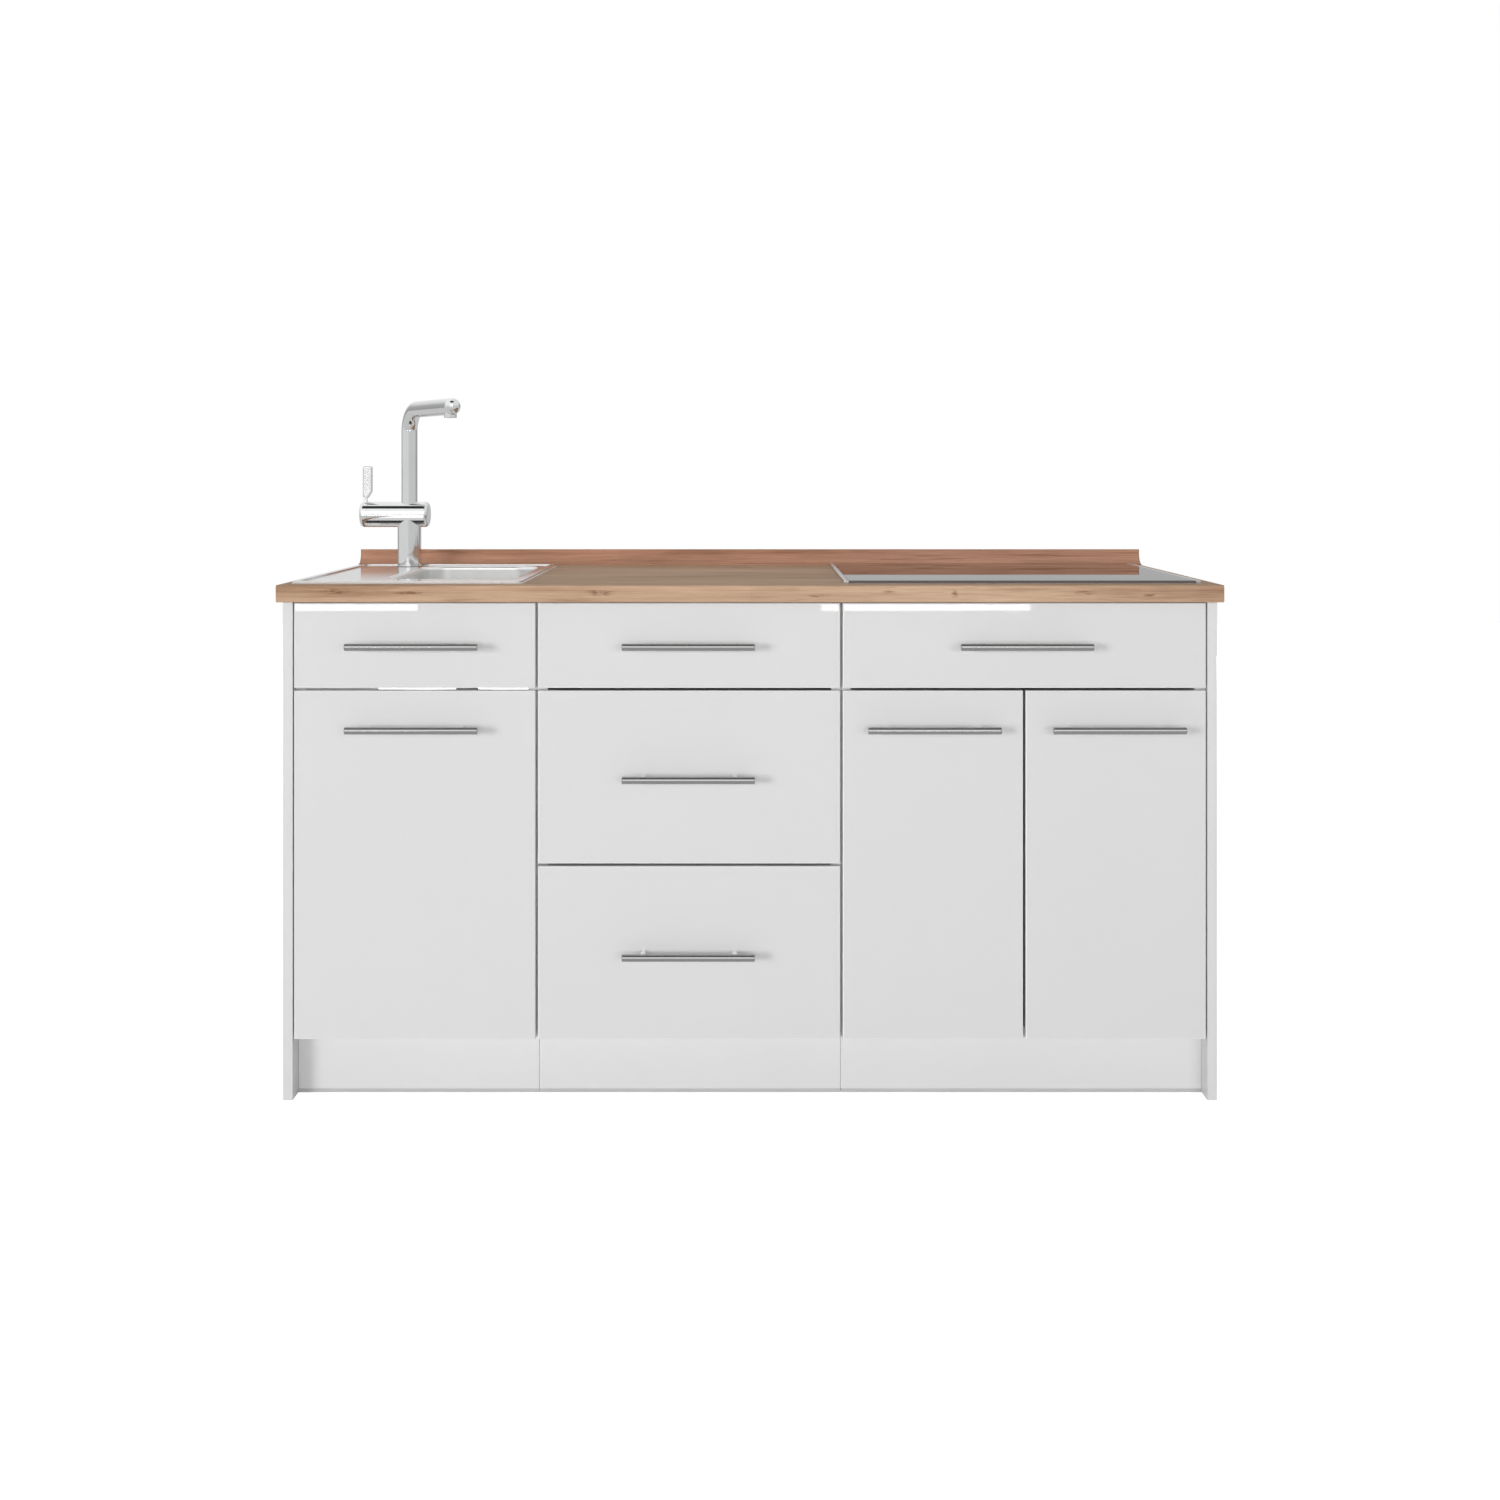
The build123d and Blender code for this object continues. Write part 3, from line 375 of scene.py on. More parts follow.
def metalFinish(name, look, zones, grain):
    finish, tree, shader = startFinish(name)
    lines = noise(tree, place(tree, look["lines"]), 1.0, detail=3, rough=0.6)
    smear = noise(tree, place(tree), grain["smear"], detail=4, rough=0.6)
    shade = mixTones(tree, stretch(tree, lines), tone(look["tone"], grain["shade"]), tone(look["tone"]))
    dullest = look["rough"] + look["spread"] * grain["smearShare"]
    rough = plus(tree, stretch(tree, lines, 0, look["spread"] * grain["lineShare"]),
                 remap(tree, smear, *grain["smearSpan"], look["rough"], dullest))
    for zone in zones:
        spot = axisOf(tree, zone["axis"])
        inside = times(tree, above(tree, spot, zone["span"][0]), below(tree, spot, zone["span"][1]))
        rough = plus(tree, rough, times(tree, inside, zone["rough"]))
        # a zone's brighter tone is painted light
        shade = mixTones(tree, inside, shade, tone(zone["tone"]))
    feed(tree, shader, Base_Color=shade, Metallic=1.0, Roughness=rough)
    if "dent" in look:
        feed(tree, shader, Normal=bump(tree, lines, look["dent"], grain["dentDepth"]))
    return finish


coatLooks = {
    "drawerSteelWhite": {"tone": (0.76, 0.76, 0.76), "rough": 0.32, "peel": 500, "dent": 0.05},
    "trapPlastic": {"tone": (0.72, 0.72, 0.70), "rough": 0.38, "peel": 300, "dent": 0.04},
    "footPlastic": {"tone": (0.022, 0.022, 0.023), "rough": 0.45, "peel": 900, "dent": 0.12},
    "clipPlastic": {"tone": (0.03, 0.03, 0.03), "rough": 0.42, "peel": 800, "dent": 0.10},
    "upstandCap": {"tone": (0.30, 0.165, 0.105), "rough": 0.42, "peel": 700, "dent": 0.06},
    "heaterWool": {"tone": (0.60, 0.57, 0.50), "rough": 0.9, "peel": 180, "dent": 0.5},
    "clearSeal": {"tone": (0.66, 0.66, 0.65), "rough": 0.22, "peel": 160, "dent": 0.08},
    "lipPlastic": {"tone": (0.50, 0.50, 0.50), "rough": 0.4, "peel": 500, "dent": 0.05},
    "sealRubber": {"tone": (0.16, 0.16, 0.16), "rough": 0.6, "peel": 700, "dent": 0.15},
    "coverGrey": {"tone": (0.56, 0.565, 0.57), "rough": 0.33, "peel": 700, "dent": 0.06},
}
coatGrain = {"cloud": 14, "shade": 0.94, "smoother": 0.04, "rougher": 0.05, "dentDepth": 0.0005}


def coatFinish(name, look, grain):
    finish, tree, shader = startFinish(name)
    peel = noise(tree, place(tree), look["peel"])
    cloud = noise(tree, place(tree), grain["cloud"])
    shade = mixTones(tree, stretch(tree, cloud), tone(look["tone"], grain["shade"]), tone(look["tone"]))
    rough = stretch(tree, cloud, look["rough"] - grain["smoother"], look["rough"] + grain["rougher"])
    feed(tree, shader, Base_Color=shade, Roughness=rough,
         Normal=bump(tree, peel, look["dent"], grain["dentDepth"]))
    return finish


wasteLook = {"steelFrom": 0.6972, "steel": (0.72, 0.72, 0.72), "plastic": (0.72, 0.72, 0.70), "shade": 0.93,
             "cloud": 22, "rough": (0.30, 0.40), "steelGain": -0.12, "peel": 300, "dent": 0.04,
             "dentDepth": 0.0004}


# steel flange in the bowl, white plastic trap under it
def wasteFinish(look):
    finish, tree, shader = startFinish("wasteAndTrap")
    steel = above(tree, axisOf(tree, "Z"), look["steelFrom"])
    cloud = noise(tree, place(tree), look["cloud"])
    peel = noise(tree, place(tree), look["peel"], detail=2)
    plastic = mixTones(tree, stretch(tree, cloud), tone(look["plastic"]),
                       tone(look["plastic"], look["shade"]))
    rough = plus(tree, stretch(tree, cloud, *look["rough"]), times(tree, steel, look["steelGain"]))
    feed(tree, shader, Base_Color=mixTones(tree, steel, plastic, tone(look["steel"])), Metallic=steel,
         Roughness=rough, Normal=bump(tree, peel, look["dent"], look["dentDepth"]))
    return finish


bumperLook = {"tone": (0.82, 0.83, 0.84), "shade": 0.9, "cloud": 60, "rough": (0.25, 0.35), "clear": 0.35}


def bumperFinish(look):
    finish, tree, shader = startFinish("bumperSilicone")
    cloud = noise(tree, place(tree), look["cloud"])
    shade = mixTones(tree, cloud, tone(look["tone"]), tone(look["tone"], look["shade"]))
    feed(tree, shader, Base_Color=shade, Roughness=stretch(tree, cloud, *look["rough"]),
         Transmission_Weight=look["clear"])
    return finish


glassLook = {"tone": (0.006, 0.006, 0.007), "print": (0.32, 0.32, 0.33), "edge": (0.11, 0.088, 0.078),
             "top": 0.8505, "line": 0.0006, "ringGap": 0.012,
             "zones": [(0.32, -0.1045, 0.090), (0.58, -0.1045, 0.072),
                       (0.32, 0.1195, 0.072), (0.58, 0.1195, 0.090)],
             "touchMiddle": (0.45, -0.2285), "touchCount": 7, "touchStep": 0.032, "touchRadius": 0.0055,
             "touchLine": 0.00036, "touchDot": 0.0009,
             "smudge": 9, "smudgeSpan": (0.4, 0.75), "polish": (0.002, 0.012), "edgeRough": 0.35}


def ringMark(tree, away, radius, width):
    return put(tree, "Math", {0: away, 1: radius, 2: width}, operation="COMPARE").outputs[0]


# black glass with printed zone rings, a row of touch marks and a ground edge
def glassFinish(look):
    finish, tree, shader = startFinish("blackHobGlass")
    flat = put(tree, "CombineXYZ", {0: axisOf(tree, "X"), 1: axisOf(tree, "Y")}).outputs[0]
    marks = 0.0
    for zoneX, zoneY, radius in look["zones"]:
        away = distance(tree, flat, (zoneX, zoneY, 0))
        for ring in (radius, radius - look["ringGap"]):
            marks = larger(tree, marks, ringMark(tree, away, ring, look["line"]))
    middleX, middleY = look["touchMiddle"]
    for step in range(look["touchCount"]):
        offset = (step - (look["touchCount"] - 1) / 2) * look["touchStep"]
        away = distance(tree, flat, (middleX + offset, middleY, 0))
        ring = ringMark(tree, away, look["touchRadius"], look["touchLine"])
        marks = larger(tree, marks, larger(tree, ring, below(tree, away, look["touchDot"])))
    smudge = noise(tree, place(tree), look["smudge"], detail=4, rough=0.6)
    onTop = above(tree, axisOf(tree, "Z"), look["top"])
    printed = mixTones(tree, times(tree, marks, onTop), tone(look["tone"]), tone(look["print"]))
    polish = remap(tree, smudge, *look["smudgeSpan"], *look["polish"])
    feed(tree, shader, Base_Color=mixTones(tree, onTop, tone(look["edge"]), printed),
         Roughness=plus(tree, polish, remap(tree, onTop, 0, 1, look["edgeRough"], 0)))
    return finish


boards = {name: boardFinish(name, look, boardGrain) for name, look in boardLooks.items()}
metals = {name: metalFinish(name, look, metalSatinAndPaintedLightZones.get(name, []), metalGrain)
          for name, look in metalLooks.items()}
coats = {name: coatFinish(name, look, coatGrain) for name, look in coatLooks.items()}
dress(frontFinish(glossFoil), "false_front", "sink_door", "hob_left_door", "hob_right_door",
      "top_drawer_front", "middle_drawer_front", "bottom_drawer_front", "hob_drawer_front")
dress(boards["carcassMelamine"], "unit_bottoms", "unit_rails", "hob_unit_shelf")
dress(boards["drilledMelamine"], "sink_unit_sides", "drawer_unit_sides", "hob_unit_sides")
dress(boards["plinthMelamine"], "plinth_boards")
dress(boards["coverSatin"], "left_cover_panel", "right_cover_panel")
dress(hardboardFinish(hardboard), "unit_backs")
dress(oakFinish("oakWorktop", oakLooks["oakWorktop"], oakDecor, frontKnots), "worktop")
dress(oakFinish("oakUpstand", oakLooks["oakUpstand"], oakDecor, []), "wall_upstand")
dress(metals["sinkSteel"], "sink_basin", "sink_strainer")
dress(metals["hobFrameSteel"], "hob_frame")
dress(metals["zincPlate"], "hinge_arms", "shelf_pins", "false_front_brackets", "hob_tray", "tap_fixing_nut")
dress(metals["tapChrome"], "tap_body", "tap_spout", "tap_aerator", "tap_mixer_cap")
dress(metals["leverChrome"], "tap_lever")
dress(metals["handleSteel"], "false_front_handle")
dress(coats["drawerSteelWhite"], "drawer_rails")
for drawer in ("top_drawer", "middle_drawer", "bottom_drawer", "hob_drawer"):
    dress(metals["handleSteel"], drawer + "_handle")
    dress(coats["drawerSteelWhite"], drawer + "_sides")
    dress(boards["drawerBoard"], drawer + "_boards")
for door in ("sink_door", "hob_left_door", "hob_right_door"):
    dress(metals["handleSteel"], door + "_handle")
    dress(metals["zincPlate"], door + "_hinge_cups")
dress(wasteFinish(wasteLook), "sink_waste")
dress(coats["footPlastic"], "feet")
dress(coats["clipPlastic"], "plinth_clips")
dress(coats["upstandCap"], "upstand_end_caps")
dress(coats["heaterWool"], "hob_heaters")
dress(bumperFinish(bumperLook), "front_bumpers")
dress(glassFinish(glassLook), "hob_glass")
print("finishes done")


# modelling helpers: everything is deselected, then one piece is shaped in edit mode
def clearPick():
    if bpy.context.mode != "OBJECT":
        bpy.ops.object.mode_set(mode="OBJECT")
    bpy.ops.object.select_all(action="DESELECT")


def takeUp(*pieces):
    clearPick()
    for piece in pieces:
        piece.select_set(True)
    bpy.context.view_layer.objects.active = pieces[0]


def joinAll(pieces):
    takeUp(*pieces)
    bpy.ops.object.join()
    return bpy.context.object


def pickAll():
    bpy.ops.mesh.select_all(action="SELECT")


# selects what passes a test among the faces or edges of the piece in edit mode
def pick(kind, test):
    bpy.ops.mesh.select_mode(type=kind)
    bpy.ops.mesh.select_all(action="DESELECT")
    shape = bpy.context.object.data
    mesh = bmesh.from_edit_mesh(shape)
    for item in {"EDGE": mesh.edges, "FACE": mesh.faces}[kind]:
        if test(item):
            item.select_set(True)
    mesh.select_flush_mode()
    bmesh.update_edit_mesh(shape)


def pullUp(height):
    bpy.ops.mesh.extrude_region_move(TRANSFORM_OT_translate={"value": (0, 0, height)})


def roundCorners(radius, steps):
    pickAll()
    bpy.ops.mesh.bevel(offset=radius, offset_type="OFFSET", segments=steps, affect="VERTICES")
    pickAll()


def faceOutward():
    pickAll()
    bpy.ops.mesh.normals_make_consistent(inside=False)


# a cube or plane of unit size brought to the size asked for, in edit mode
def startBlock(addShape, size, spot=(0, 0, 0), settled=False):
    clearPick()
    addShape(size=1, location=spot)
    piece = bpy.context.object
    piece.scale = size
    bpy.ops.object.transform_apply(location=settled, rotation=False, scale=True)
    bpy.ops.object.mode_set(mode="EDIT")
    return piece


# turns (radius, height) steps round the z axis, one extrude and one resize a step; a ring is bridged
def turn(steps, sides, ring=False):
    clearPick()
    radius, height = steps[0]
    filling = "NOTHING" if ring else "NGON"
    bpy.ops.mesh.primitive_circle_add(vertices=sides, radius=radius, fill_type=filling)
    piece = bpy.context.object
    bpy.ops.object.mode_set(mode="EDIT")
    bpy.ops.mesh.select_mode(type="EDGE" if ring else "FACE")
    pickAll()
    bpy.ops.transform.translate(value=(0, 0, height))
    for nextRadius, nextHeight in steps[1:]:
        pullUp(nextHeight - height)
        growth = nextRadius / radius
        bpy.ops.transform.resize(value=(growth, growth, 1), center_override=(0, 0, 0))
        radius, height = nextRadius, nextHeight
    if ring:
        bpy.ops.mesh.select_all(action="DESELECT")
        bpy.ops.mesh.select_non_manifold()
        bpy.ops.mesh.bridge_edge_loops()
    faceOutward()
    return piece


# sinks every other side face of a turned band; the nudge keeps a face's step from falling either way
def groove(sides, low, high, outer, depth, reach=0.97, rim=0.4, nudge=0.001):
    def alternate(face):
        spot = face.calc_center_median()
        step = int((math.atan2(spot.y, spot.x) / math.tau + 1) * sides + nudge)
        return low < spot.z < high and math.hypot(spot.x, spot.y) > outer * reach and step % 2 == 0
    pick("FACE", alternate)
    bpy.ops.mesh.inset(thickness=depth * rim, depth=-depth, use_individual=True)


# copies of one piece, each with its own mesh, at (x, y, z) and a turn, joined into one
def copyTo(piece, places):
    made = []
    for spot, turned in places:
        takeUp(piece)
        bpy.ops.object.duplicate(linked=False)
        copy = bpy.context.object
        copy.location = spot
        copy.rotation_euler = turned
        made.append(copy)
    return joinAll(made)


# place into the mesh, soft shading, finish and the body it rides on, if it rides on one
def finishPiece(piece, name, finish, body, angle=32):
    takeUp(piece)
    bpy.ops.object.transform_apply(location=True, rotation=True, scale=True)
    bpy.ops.object.shade_smooth_by_angle(angle=math.radians(angle))
    piece.name = name
    piece.data.name = name
    piece.data.materials.clear()
    piece.data.materials.append(finish)
    if body:
        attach(piece, body)


faceUp = (0, 0, 0)
faceBack = (-math.pi / 2, 0, 0)
faceRight = (0, math.pi / 2, 0)
faceLeft = (0, -math.pi / 2, 0)
faceAway = {1: faceRight, -1: faceLeft}  # off a wall, by the way into the unit
bothSides = (-1, 1)
levelFace = 0.9  # a normal this far along z is that of a level face

# levelling foot: (radius, height) steps and the knurled ring that turns it
levelFoot = {"steps": [(0.0225, 0.0), (0.0250, 0.0012), (0.0250, 0.0055), (0.0235, 0.0080),
                       (0.0175, 0.0092), (0.0150, 0.0130), (0.0140, 0.0180), (0.0140, 0.0650),
                       (0.0162, 0.0665), (0.0162, 0.0815), (0.0140, 0.0830), (0.0140, 0.0862),
                       (0.0185, 0.0882), (0.0285, 0.0886), (0.0300, 0.0898), (0.0300, 0.1000)],
             "sides": 24, "knurl": (0.0665, 0.0815), "knurlRadius": 0.0162, "depth": 0.0012,
             "columns": (-0.690, -0.410, -0.290, 0.090, 0.210, 0.690), "rows": (-0.1905, 0.2155)}


def addFeet(look):
    foot = turn(look["steps"], look["sides"])
    groove(look["sides"], *look["knurl"], look["knurlRadius"], look["depth"])
    feet = copyTo(foot, [((x, y, 0), faceUp) for x in look["columns"] for y in look["rows"]])
    bpy.data.objects.remove(foot)
    finishPiece(feet, "levellingFeet", coats["footPlastic"], "cabinet")
    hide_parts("feet")


# pan-head screw with a cross recess
panScrew = {"head": [(0.0036, 0.0), (0.0036, 0.0006), (0.0031, 0.0013), (0.0021, 0.0018), (0.0011, 0.0020)],
            "sides": 20, "blade": (0.0042, 0.0010, 0.0014), "bladeHeight": 0.0019,
            "bladeTip": (0.55, 0.8, 1)}


def makeScrew(look):
    screw = turn(look["head"], look["sides"])
    blade = startBlock(bpy.ops.mesh.primitive_cube_add, look["blade"], (0, 0, look["bladeHeight"]),
                       settled=True)
    pick("FACE", lambda face: face.normal.z < -levelFace)
    bpy.ops.transform.resize(value=look["bladeTip"], center_override=(0, 0, 0))
    pickAll()
    bpy.ops.mesh.duplicate()
    bpy.ops.transform.rotate(value=math.pi / 2, orient_axis="Z", center_override=(0, 0, 0))
    takeUp(screw)
    cut = screw.modifiers.new("crossRecess", "BOOLEAN")
    cut.operation = "DIFFERENCE"
    cut.object = blade
    cut.use_self = True
    bpy.ops.object.modifier_apply(modifier=cut.name)
    bpy.data.objects.remove(blade)
    return screw


# where the screws sit: behind each handle, on hinge cups and hinge plates, and on the two legs of each
# bracket of the fixed front; a leg is (off the wall, depth), a wall is (x, way into the unit)
screwPlan = {"handles": {"cabinet": (-0.550, 0.746), "top_drawer": (-0.100, 0.746),
                         "middle_drawer": (-0.100, 0.530), "bottom_drawer": (-0.100, 0.242),
                         "hob_drawer": (0.450, 0.746), "sink_door": (-0.550, 0.6105),
                         "hob_left_door": (0.300, 0.6105), "hob_right_door": (0.600, 0.6105)},
             "postHalf": 0.075, "frontBack": -0.2565, "hingeRows": (0.180, 0.592),
             "cups": {"sink_door": -0.7265, "hob_left_door": 0.1735, "hob_right_door": 0.7265},
             "cupRise": 0.0235, "earPlane": -0.2553,
             "plateWalls": [(-0.734, 1), (0.166, 1), (0.734, -1)],
             "plateRise": 0.0125, "plateDepth": -0.2135, "plateThick": 0.003,
             "bracketWalls": [(-0.734, 1), (-0.366, -1)],
             "bracketRise": 0.011, "sideLeg": (0.002, -0.2360), "frontLeg": (0.020, -0.2545)}


def cupPlaces(plan, x):
    return [((x, plan["earPlane"], row + side * plan["cupRise"]), faceBack)
            for row in plan["hingeRows"] for side in bothSides]


def wallPlaces(plan, bracketHeight):
    places = [((wall + way * plan["plateThick"], plan["plateDepth"], row + side * plan["plateRise"]),
               faceAway[way])
              for wall, way in plan["plateWalls"] for row in plan["hingeRows"] for side in bothSides]
    for wall, way in plan["bracketWalls"]:
        for side in bothSides:
            height = bracketHeight + side * plan["bracketRise"]
            for (off, depth), turned in ((plan["sideLeg"], faceAway[way]), (plan["frontLeg"], faceBack)):
                places.append(((wall + way * off, depth, height), turned))
    return places


def addScrews(plan, look):
    screw = makeScrew(look)
    for body, (x, z) in plan["handles"].items():
        places = [((x + side * plan["postHalf"], plan["frontBack"], z), faceBack) for side in bothSides]
        if body in plan["cups"]:
            places += cupPlaces(plan, plan["cups"][body])
        if body == "cabinet":
            places += wallPlaces(plan, z)
        finishPiece(copyTo(screw, places), body + "Screws", metals["zincPlate"], body)
    bpy.data.objects.remove(screw)


# straight link of each hinge, in steps along its length, lying in the cup as with the door shut; doors give
# (x, inward)
hingeLink = {"inner": 0.0240, "thick": 0.003, "high": 0.010, "soft": 0.0007, "softSteps": 2, "steps": 20,
             "armEnd": -0.2475, "armHold": 0.002, "cupEnd": -0.2662, "cupHold": 0.001,
             "rows": (0.180, 0.592),
             "doors": {"sink_door": (-0.744, 1), "hob_left_door": (0.156, 1),
                       "hob_right_door": (0.744, -1)}}


def addHingeLinks(look):
    long = look["armEnd"] - look["cupEnd"]
    middle = (look["armEnd"] + look["cupEnd"]) / 2
    link = startBlock(bpy.ops.mesh.primitive_cube_add, (look["thick"], long, look["high"]))

    def runsAlong(edge):
        return abs(edge.verts[0].co.y - edge.verts[1].co.y) > long / 2
    pick("EDGE", runsAlong)
    bpy.ops.mesh.bevel(offset=look["soft"], segments=look["softSteps"], affect="EDGES")
    pick("EDGE", runsAlong)
    bpy.ops.mesh.subdivide(number_cuts=look["steps"])
    for door, (x, inward) in look["doors"].items():
        across = x + inward * (look["inner"] + look["thick"] / 2)
        links = copyTo(link, [((across, middle, row), faceUp) for row in look["rows"]])
        finishPiece(links, door + "HingeLinks", metals["zincPlate"], None)
        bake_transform(links)
    bpy.data.objects.remove(link)


# ribbed plastic nuts on the waste: tail, bottle cup and outlet
# each is (inner radius, outer radius, low, high, sides, place, turn)
wasteNuts = {"rib": 0.0011, "edgeShare": 0.35, "nuts": [
    (0.0201, 0.0262, 0.604, 0.626, 36, (-0.514, 0.0225, 0), faceUp),
    (0.0361, 0.0392, 0.496, 0.522, 48, (-0.514, 0.0225, 0), faceUp),
    (0.0271, 0.0298, 0.0605, 0.0825, 36, (-0.514, 0, 0.570), faceBack)]}


def addWasteNuts(look):
    made = []
    for inner, outer, low, high, sides, spot, turned in look["nuts"]:
        edge = (outer - inner) * look["edgeShare"]
        nut = turn([(inner, low), (outer - edge, low), (outer, low + edge), (outer, high - edge),
                    (outer - edge, high), (inner, high)], sides, ring=True)
        groove(sides, low + edge, high - edge, outer, look["rib"])
        made.append(copyTo(nut, [(spot, turned)]))
        bpy.data.objects.remove(nut)
    finishPiece(joinAll(made), "wasteNuts", coats["trapPlastic"], "cabinet")


# how far a point lies outside a rounded rectangle, less than 0 inside
def outsideOf(spot, half, corner):
    across = abs(spot.x) - half[0] + corner
    along = abs(spot.y) - half[1] + corner
    return math.hypot(max(across, 0), max(along, 0)) + min(max(across, along), 0) - corner


# bead of silicone round the sink, leaning on its rim
sinkBead = {"low": (-0.758, -0.2505), "high": (-0.378, 0.2535), "corner": 0.008, "cornerSteps": 8,
            "wide": 0.0017, "under": 0.0003, "bed": 0.846, "rise": 0.0016, "softShare": 0.8, "softSteps": 4,
            "smooth": 60}


def addSinkBead(look):
    half = [(b - a) / 2 + look["wide"] for a, b in zip(look["low"], look["high"])]
    middle = [(b + a) / 2 for a, b in zip(look["low"], look["high"])]
    corner = look["corner"] + look["wide"]
    size = (half[0] * 2, half[1] * 2, 1)
    bead = startBlock(bpy.ops.mesh.primitive_plane_add, size, (*middle, look["bed"]))
    roundCorners(corner, look["cornerSteps"])
    bpy.ops.mesh.inset(thickness=look["wide"] + look["under"])
    bpy.ops.mesh.delete(type="FACE")
    pickAll()
    pullUp(look["rise"])

    def upperOuter(spot):
        return spot.z > look["rise"] / 2 and outsideOf(spot, half, corner) > -look["wide"] / 2
    pick("EDGE", lambda edge: all(upperOuter(point.co) for point in edge.verts))
    bpy.ops.mesh.bevel(offset=look["wide"] * look["softShare"], segments=look["softSteps"], affect="EDGES",
                       clamp_overlap=True)
    faceOutward()
    finishPiece(bead, "sinkSealBead", coats["clearSeal"], "cabinet", look["smooth"])


# grey sealing profile that grips the lower edge of each plinth board
plinthLip = {"spans": [(-0.7497, -0.3503), (-0.3497, 0.1497), (0.1503, 0.7497)], "front": -0.2365,
             "back": -0.2205, "wall": 0.0008, "bed": 0.003, "rise": 0.0062, "softShare": 0.6,
             "softSteps": 2}


def addPlinthLips(look):
    made = []
    middle = (look["front"] + look["back"]) / 2
    inner = (look["back"] - look["front"]) / 2

    def upperOuter(spot):
        return spot.z > look["bed"] and abs(spot.y) > inner + look["wall"] / 2
    for left, right in look["spans"]:
        size = (right - left, (inner + look["wall"]) * 2, look["bed"])
        spot = ((left + right) / 2, middle, look["bed"] / 2)
        lip = startBlock(bpy.ops.mesh.primitive_cube_add, size, spot)
        for side in bothSides:
            pickAll()
            bpy.ops.mesh.bisect(plane_co=(0, middle + side * inner, 0), plane_no=(0, 1, 0))
        pick("FACE", lambda face: face.normal.z > levelFace and abs(face.calc_center_median().y) > inner)
        pullUp(look["rise"] - look["bed"])
        pick("EDGE", lambda edge: all(upperOuter(point.co) for point in edge.verts))
        soft = look["wall"] * look["softShare"]
        bpy.ops.mesh.bevel(offset=soft, segments=look["softSteps"], affect="EDGES")
        made.append(lip)
    finishPiece(joinAll(made), "plinthSealLips", coats["lipPlastic"], "cabinet")


# rubber ring under the tap
tapGasket = {"inner": 0.0224, "outer": 0.0246, "low": 0.8478, "high": 0.8488, "lipShare": 0.4, "sides": 48,
             "spot": (-0.657, 0.2075, 0)}


def addTapGasket(look):
    inner, outer, low, high = look["inner"], look["outer"], look["low"], look["high"]
    lip = (outer - inner) * look["lipShare"]
    ring = turn([(inner, low), (outer, low), (outer, high - lip), (outer - lip, high), (inner, high)],
                look["sides"], ring=True)
    gasket = copyTo(ring, [(look["spot"], faceUp)])
    finishPiece(gasket, "tapGasket", coats["sealRubber"], "cabinet")
    bpy.data.objects.remove(ring)


# oval covers over the front fixings of the steel drawer sides; drawers give (left x, right x, height)
sideCover = {"long": 0.052, "high": 0.017, "corner": 0.0080, "cornerSteps": 8, "rise": 0.0014,
             "rim": 0.0016, "crown": 0.0007, "dishShare": 0.6, "setback": -0.2105,
             "drawers": {"top_drawer": (-0.3198, 0.1198, 0.730), "hob_drawer": (0.1802, 0.7198, 0.730),
                         "middle_drawer": (-0.3198, 0.1198, 0.482),
                         "bottom_drawer": (-0.3198, 0.1198, 0.194)}}


def addSideCovers(look):
    cover = startBlock(bpy.ops.mesh.primitive_plane_add, (look["high"], look["long"], 1))
    roundCorners(look["corner"], look["cornerSteps"])
    pullUp(look["rise"])
    bpy.ops.mesh.inset(thickness=look["rim"], depth=look["crown"])
    bpy.ops.mesh.inset(thickness=look["rim"], depth=-look["crown"] * look["dishShare"])
    faceOutward()
    for drawer, (left, right, height) in look["drawers"].items():
        places = [((left, look["setback"], height), faceRight),
                  ((right, look["setback"], height), faceLeft)]
        covers = copyTo(cover, places)
        finishPiece(covers, drawer + "SideCovers", coats["coverGrey"], drawer)
    bpy.data.objects.remove(cover)


addFeet(levelFoot)
addScrews(screwPlan, panScrew)
addHingeLinks(hingeLink)
addWasteNuts(wasteNuts)
addSinkBead(sinkBead)
addPlinthLips(plinthLip)
addTapGasket(tapGasket)
addSideCovers(sideCover)
print("small pieces done")


# one strength for what the camera sees, one for metal and glass, and one for all other light
def whiteRays(tree, shown, mirrored, other):
    path = put(tree, "LightPath", {})
    seen = path.outputs["Is Camera Ray"]
    shine = larger(tree, path.outputs["Is Glossy Ray"], path.outputs["Is Transmission Ray"])
    rest = calc(tree, "SUBTRACT", 1.0, larger(tree, seen, shine))
    direct = larger(tree, times(tree, seen, shown), times(tree, shine, mirrored))
    return plus(tree, direct, times(tree, rest, other))


studioFloor = {"size": (24, 16), "front": -7.97, "tone": 0.95, "glow": 0.8, "shine": 0.6}


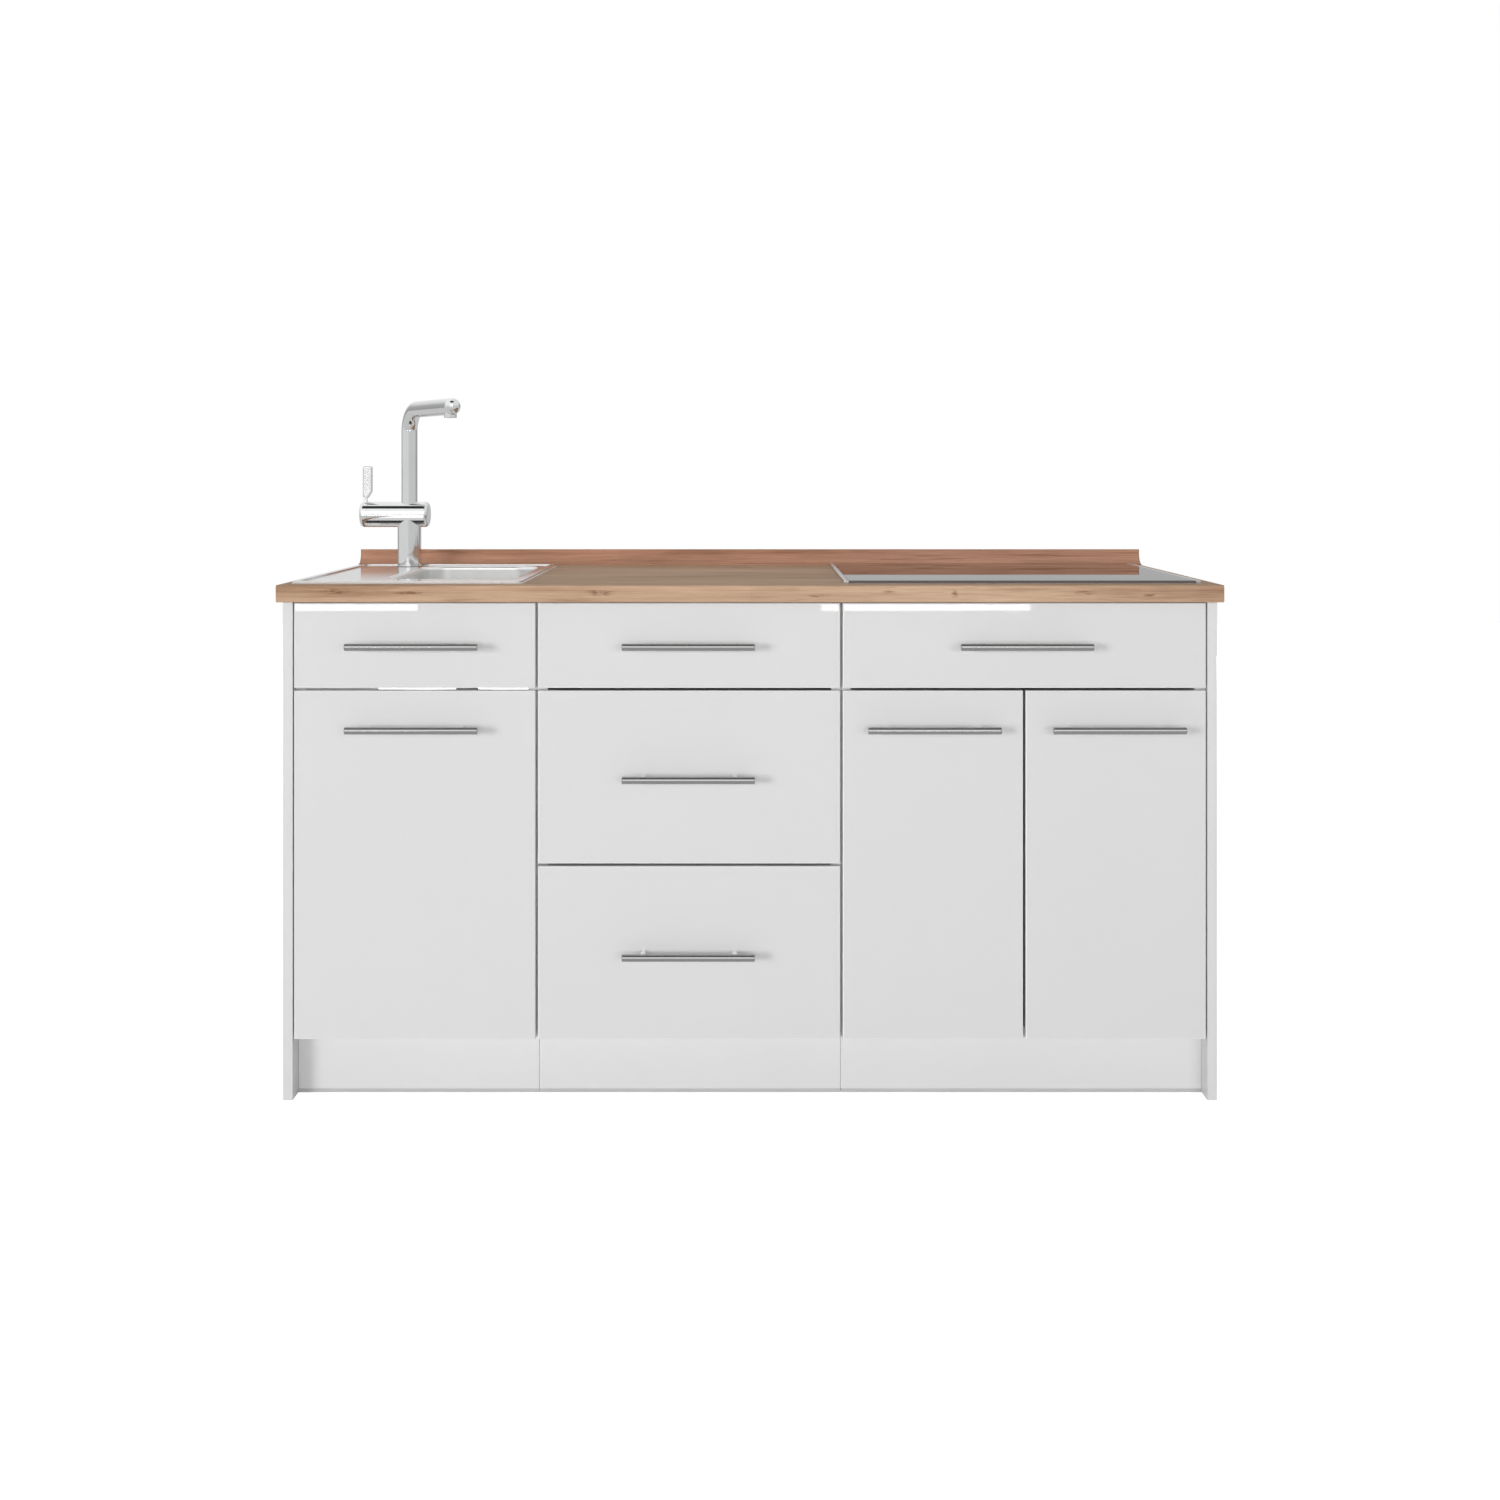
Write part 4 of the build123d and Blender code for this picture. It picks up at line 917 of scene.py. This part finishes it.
# matt white with a glow for the camera, and one even tone where it shows in gloss
def addFloor(look):
    clearPick()
    bpy.ops.mesh.primitive_plane_add(size=1, location=(0, 0, 0))
    floor = bpy.context.object
    floor.name = "studioFloor"
    floor.scale = (*look["size"], 1)
    floor.location = (0, look["front"] + look["size"][1] / 2, 0)
    bpy.ops.object.transform_apply(location=True, rotation=False, scale=True)
    finish = bpy.data.materials.new("paleFloor")
    finish.use_nodes = True
    tree = finish.node_tree
    tree.nodes.clear()
    gloss = put(tree, "LightPath", {}).outputs["Is Glossy Ray"]
    paint = mixTones(tree, gloss, tone((look["tone"],) * 3), tone((0, 0, 0)))
    matt = put(tree, "BsdfDiffuse", {"Color": paint})
    glow = put(tree, "Emission", {"Strength": whiteRays(tree, look["glow"], look["shine"], 0.0)})
    both = put(tree, "AddShader", {0: matt.outputs[0], 1: glow.outputs[0]})
    put(tree, "OutputMaterial", {"Surface": both.outputs[0]})
    floor.data.materials.append(finish)


# directions are of unit length, x to the right, y to the rear and z up
paleRoom = {"fill": 0.25, "levels": [(0.0, 0.62), (0.5, 0.72), (0.75, 0.98), (1.0, 0.9)],
            "sides": (-0.15, 0.15), "rightTone": 0.84, "halfSoft": 0.04,
            "slotFrom": 0.80, "slotSoft": 0.02, "slotBack": -0.10, "slotBackSoft": 0.05, "slotHalf": 0.33,
            "slotTone": 0.03,
            "flags": (0.38, 0.80), "flagSoft": 0.12, "flagHeight": 0.35, "flagTopSoft": 0.15,
            "flagTone": 0.5,
            "rearDepth": (0.90, 0.96), "rearSide": (-0.17, -0.07), "rearTone": 0.88,
            "band": (0.08, 0.48), "bandSoft": (0.03, 0.05), "bandDepth": (-0.2, -0.4), "bandHalf": 0.32,
            "bandTone": 1.9}


def rises(tree, value, edge, soft):
    return remap(tree, value, edge - soft, edge + soft)


def falls(tree, value, edge, soft):
    return remap(tree, value, edge + soft, edge - soft)


# white behind the object; metal and glass see a pale room with a dark slot overhead, two dark flags, a dim
# rear and a bright band in front
def addWorld(look):
    world = bpy.data.worlds.new("paleStudio")
    world.use_nodes = True
    bpy.context.scene.world = world
    tree = world.node_tree
    tree.nodes.clear()
    x, y, z = put(tree, "SeparateXYZ", {0: put(tree, "TexCoord", {}).outputs["Generated"]}).outputs
    aside = calc(tree, "ABSOLUTE", x)
    room = ramp(tree, remap(tree, z, -1, 1), [(spot, (level,) * 3) for spot, level in look["levels"]])
    room = times(tree, room, remap(tree, x, *look["sides"], 1, look["rightTone"]))
    slot = times(tree, rises(tree, z, look["slotFrom"], look["slotSoft"]),
                 falls(tree, y, look["slotBack"], look["slotBackSoft"]),
                 falls(tree, aside, look["slotHalf"], look["halfSoft"]))
    flag = times(tree, rises(tree, y, look["flags"][0], look["flagSoft"]),
                 falls(tree, y, look["flags"][1], look["flagSoft"]),
                 falls(tree, z, look["flagHeight"], look["flagTopSoft"]))
    rear = times(tree, remap(tree, y, *look["rearDepth"]), remap(tree, x, *look["rearSide"]))
    for mask, level in ((slot, look["slotTone"]), (flag, look["flagTone"]), (rear, look["rearTone"])):
        room = times(tree, room, remap(tree, mask, 0, 1, 1, level))
    band = times(tree, rises(tree, z, look["band"][0], look["bandSoft"][0]),
                 falls(tree, z, look["band"][1], look["bandSoft"][1]),
                 remap(tree, y, *look["bandDepth"], 0, look["bandTone"]),
                 falls(tree, aside, look["bandHalf"], look["halfSoft"]))
    power = whiteRays(tree, 1.0, larger(tree, room, band), look["fill"])
    back = put(tree, "Background", {"Color": (1, 1, 1, 1), "Strength": power})
    put(tree, "OutputWorld", {"Surface": back.outputs[0]})


# soft boxes: centre, point they face, width and height, watts; only the two low cards show in gloss
softBoxes = {
    "leftCard": {"at": (-1.837, -5.2725, 0.427), "to": (-1.837, 0, 0.427), "size": (0.578, 0.1),
                 "watts": 1.5},
    "rightCard": {"at": (0.8205, -5.2725, 0.427), "to": (0.8205, 0, 0.427), "size": (0.975, 0.1),
                  "watts": 2.5},
    "leftKey": {"at": (-6.4, -7.7, 1.50), "to": (0, -0.27, 0.45), "size": (3.6, 2.4), "watts": 418},
    "frontFill": {"at": (1.2, -6.4, 1.25), "to": (0.1, -0.27, 0.40), "size": (6.0, 1.3), "watts": 154},
    "overhead": {"at": (0, 0.28, 3.2), "to": (0, 0.2801, 0), "size": (3.2, 0.9), "watts": 17},
    "leftSide": {"at": (-6.5, 0.4, 1.1), "to": (-0.77, 0, 0.45), "size": (1.6, 2.6), "watts": 140},
    "rightSide": {"at": (6.5, 0.4, 1.1), "to": (0.77, 0, 0.45), "size": (1.6, 2.6), "watts": 140},
    "rearWall": {"at": (0.8, 6.5, 0.8), "to": (0, 0.3, 0.45), "size": (5.0, 1.4), "watts": 230},
}
shownInGloss = ("leftCard", "rightCard")


def addSoftBoxes(boxes):
    for name, look in boxes.items():
        bpy.ops.object.light_add(type="AREA", location=look["at"])
        lamp = bpy.context.object
        lamp.name = name
        lamp.data.shape = "RECTANGLE"
        lamp.data.size, lamp.data.size_y = look["size"]
        lamp.data.energy = look["watts"]
        lamp.visible_glossy = name in shownInGloss
        lamp.visible_camera = False
        x, y, z = [b - a for a, b in zip(look["at"], look["to"])]
        tilt = math.atan2(z, math.hypot(x, y))
        lamp.rotation_euler = (math.pi / 2 + tilt, 0, math.atan2(y, x) - math.pi / 2)


view = {"at": (0, -2.9865, 1.034), "lens": 39.73, "sensor": 36, "down": -0.1868}


def addCamera(look):
    camera = bpy.data.objects.new("frontCamera", bpy.data.cameras.new("frontCamera"))
    bpy.context.collection.objects.link(camera)
    camera.location = look["at"]
    camera.rotation_euler = (math.pi / 2, 0, 0)
    camera.data.lens = look["lens"]
    camera.data.sensor_width = look["sensor"]
    camera.data.shift_y = look["down"]
    bpy.context.scene.camera = camera


addFloor(studioFloor)
addWorld(paleRoom)
addSoftBoxes(softBoxes)
addCamera(view)
bpy.context.scene.view_settings.view_transform = "Standard"
print("studio and camera set")
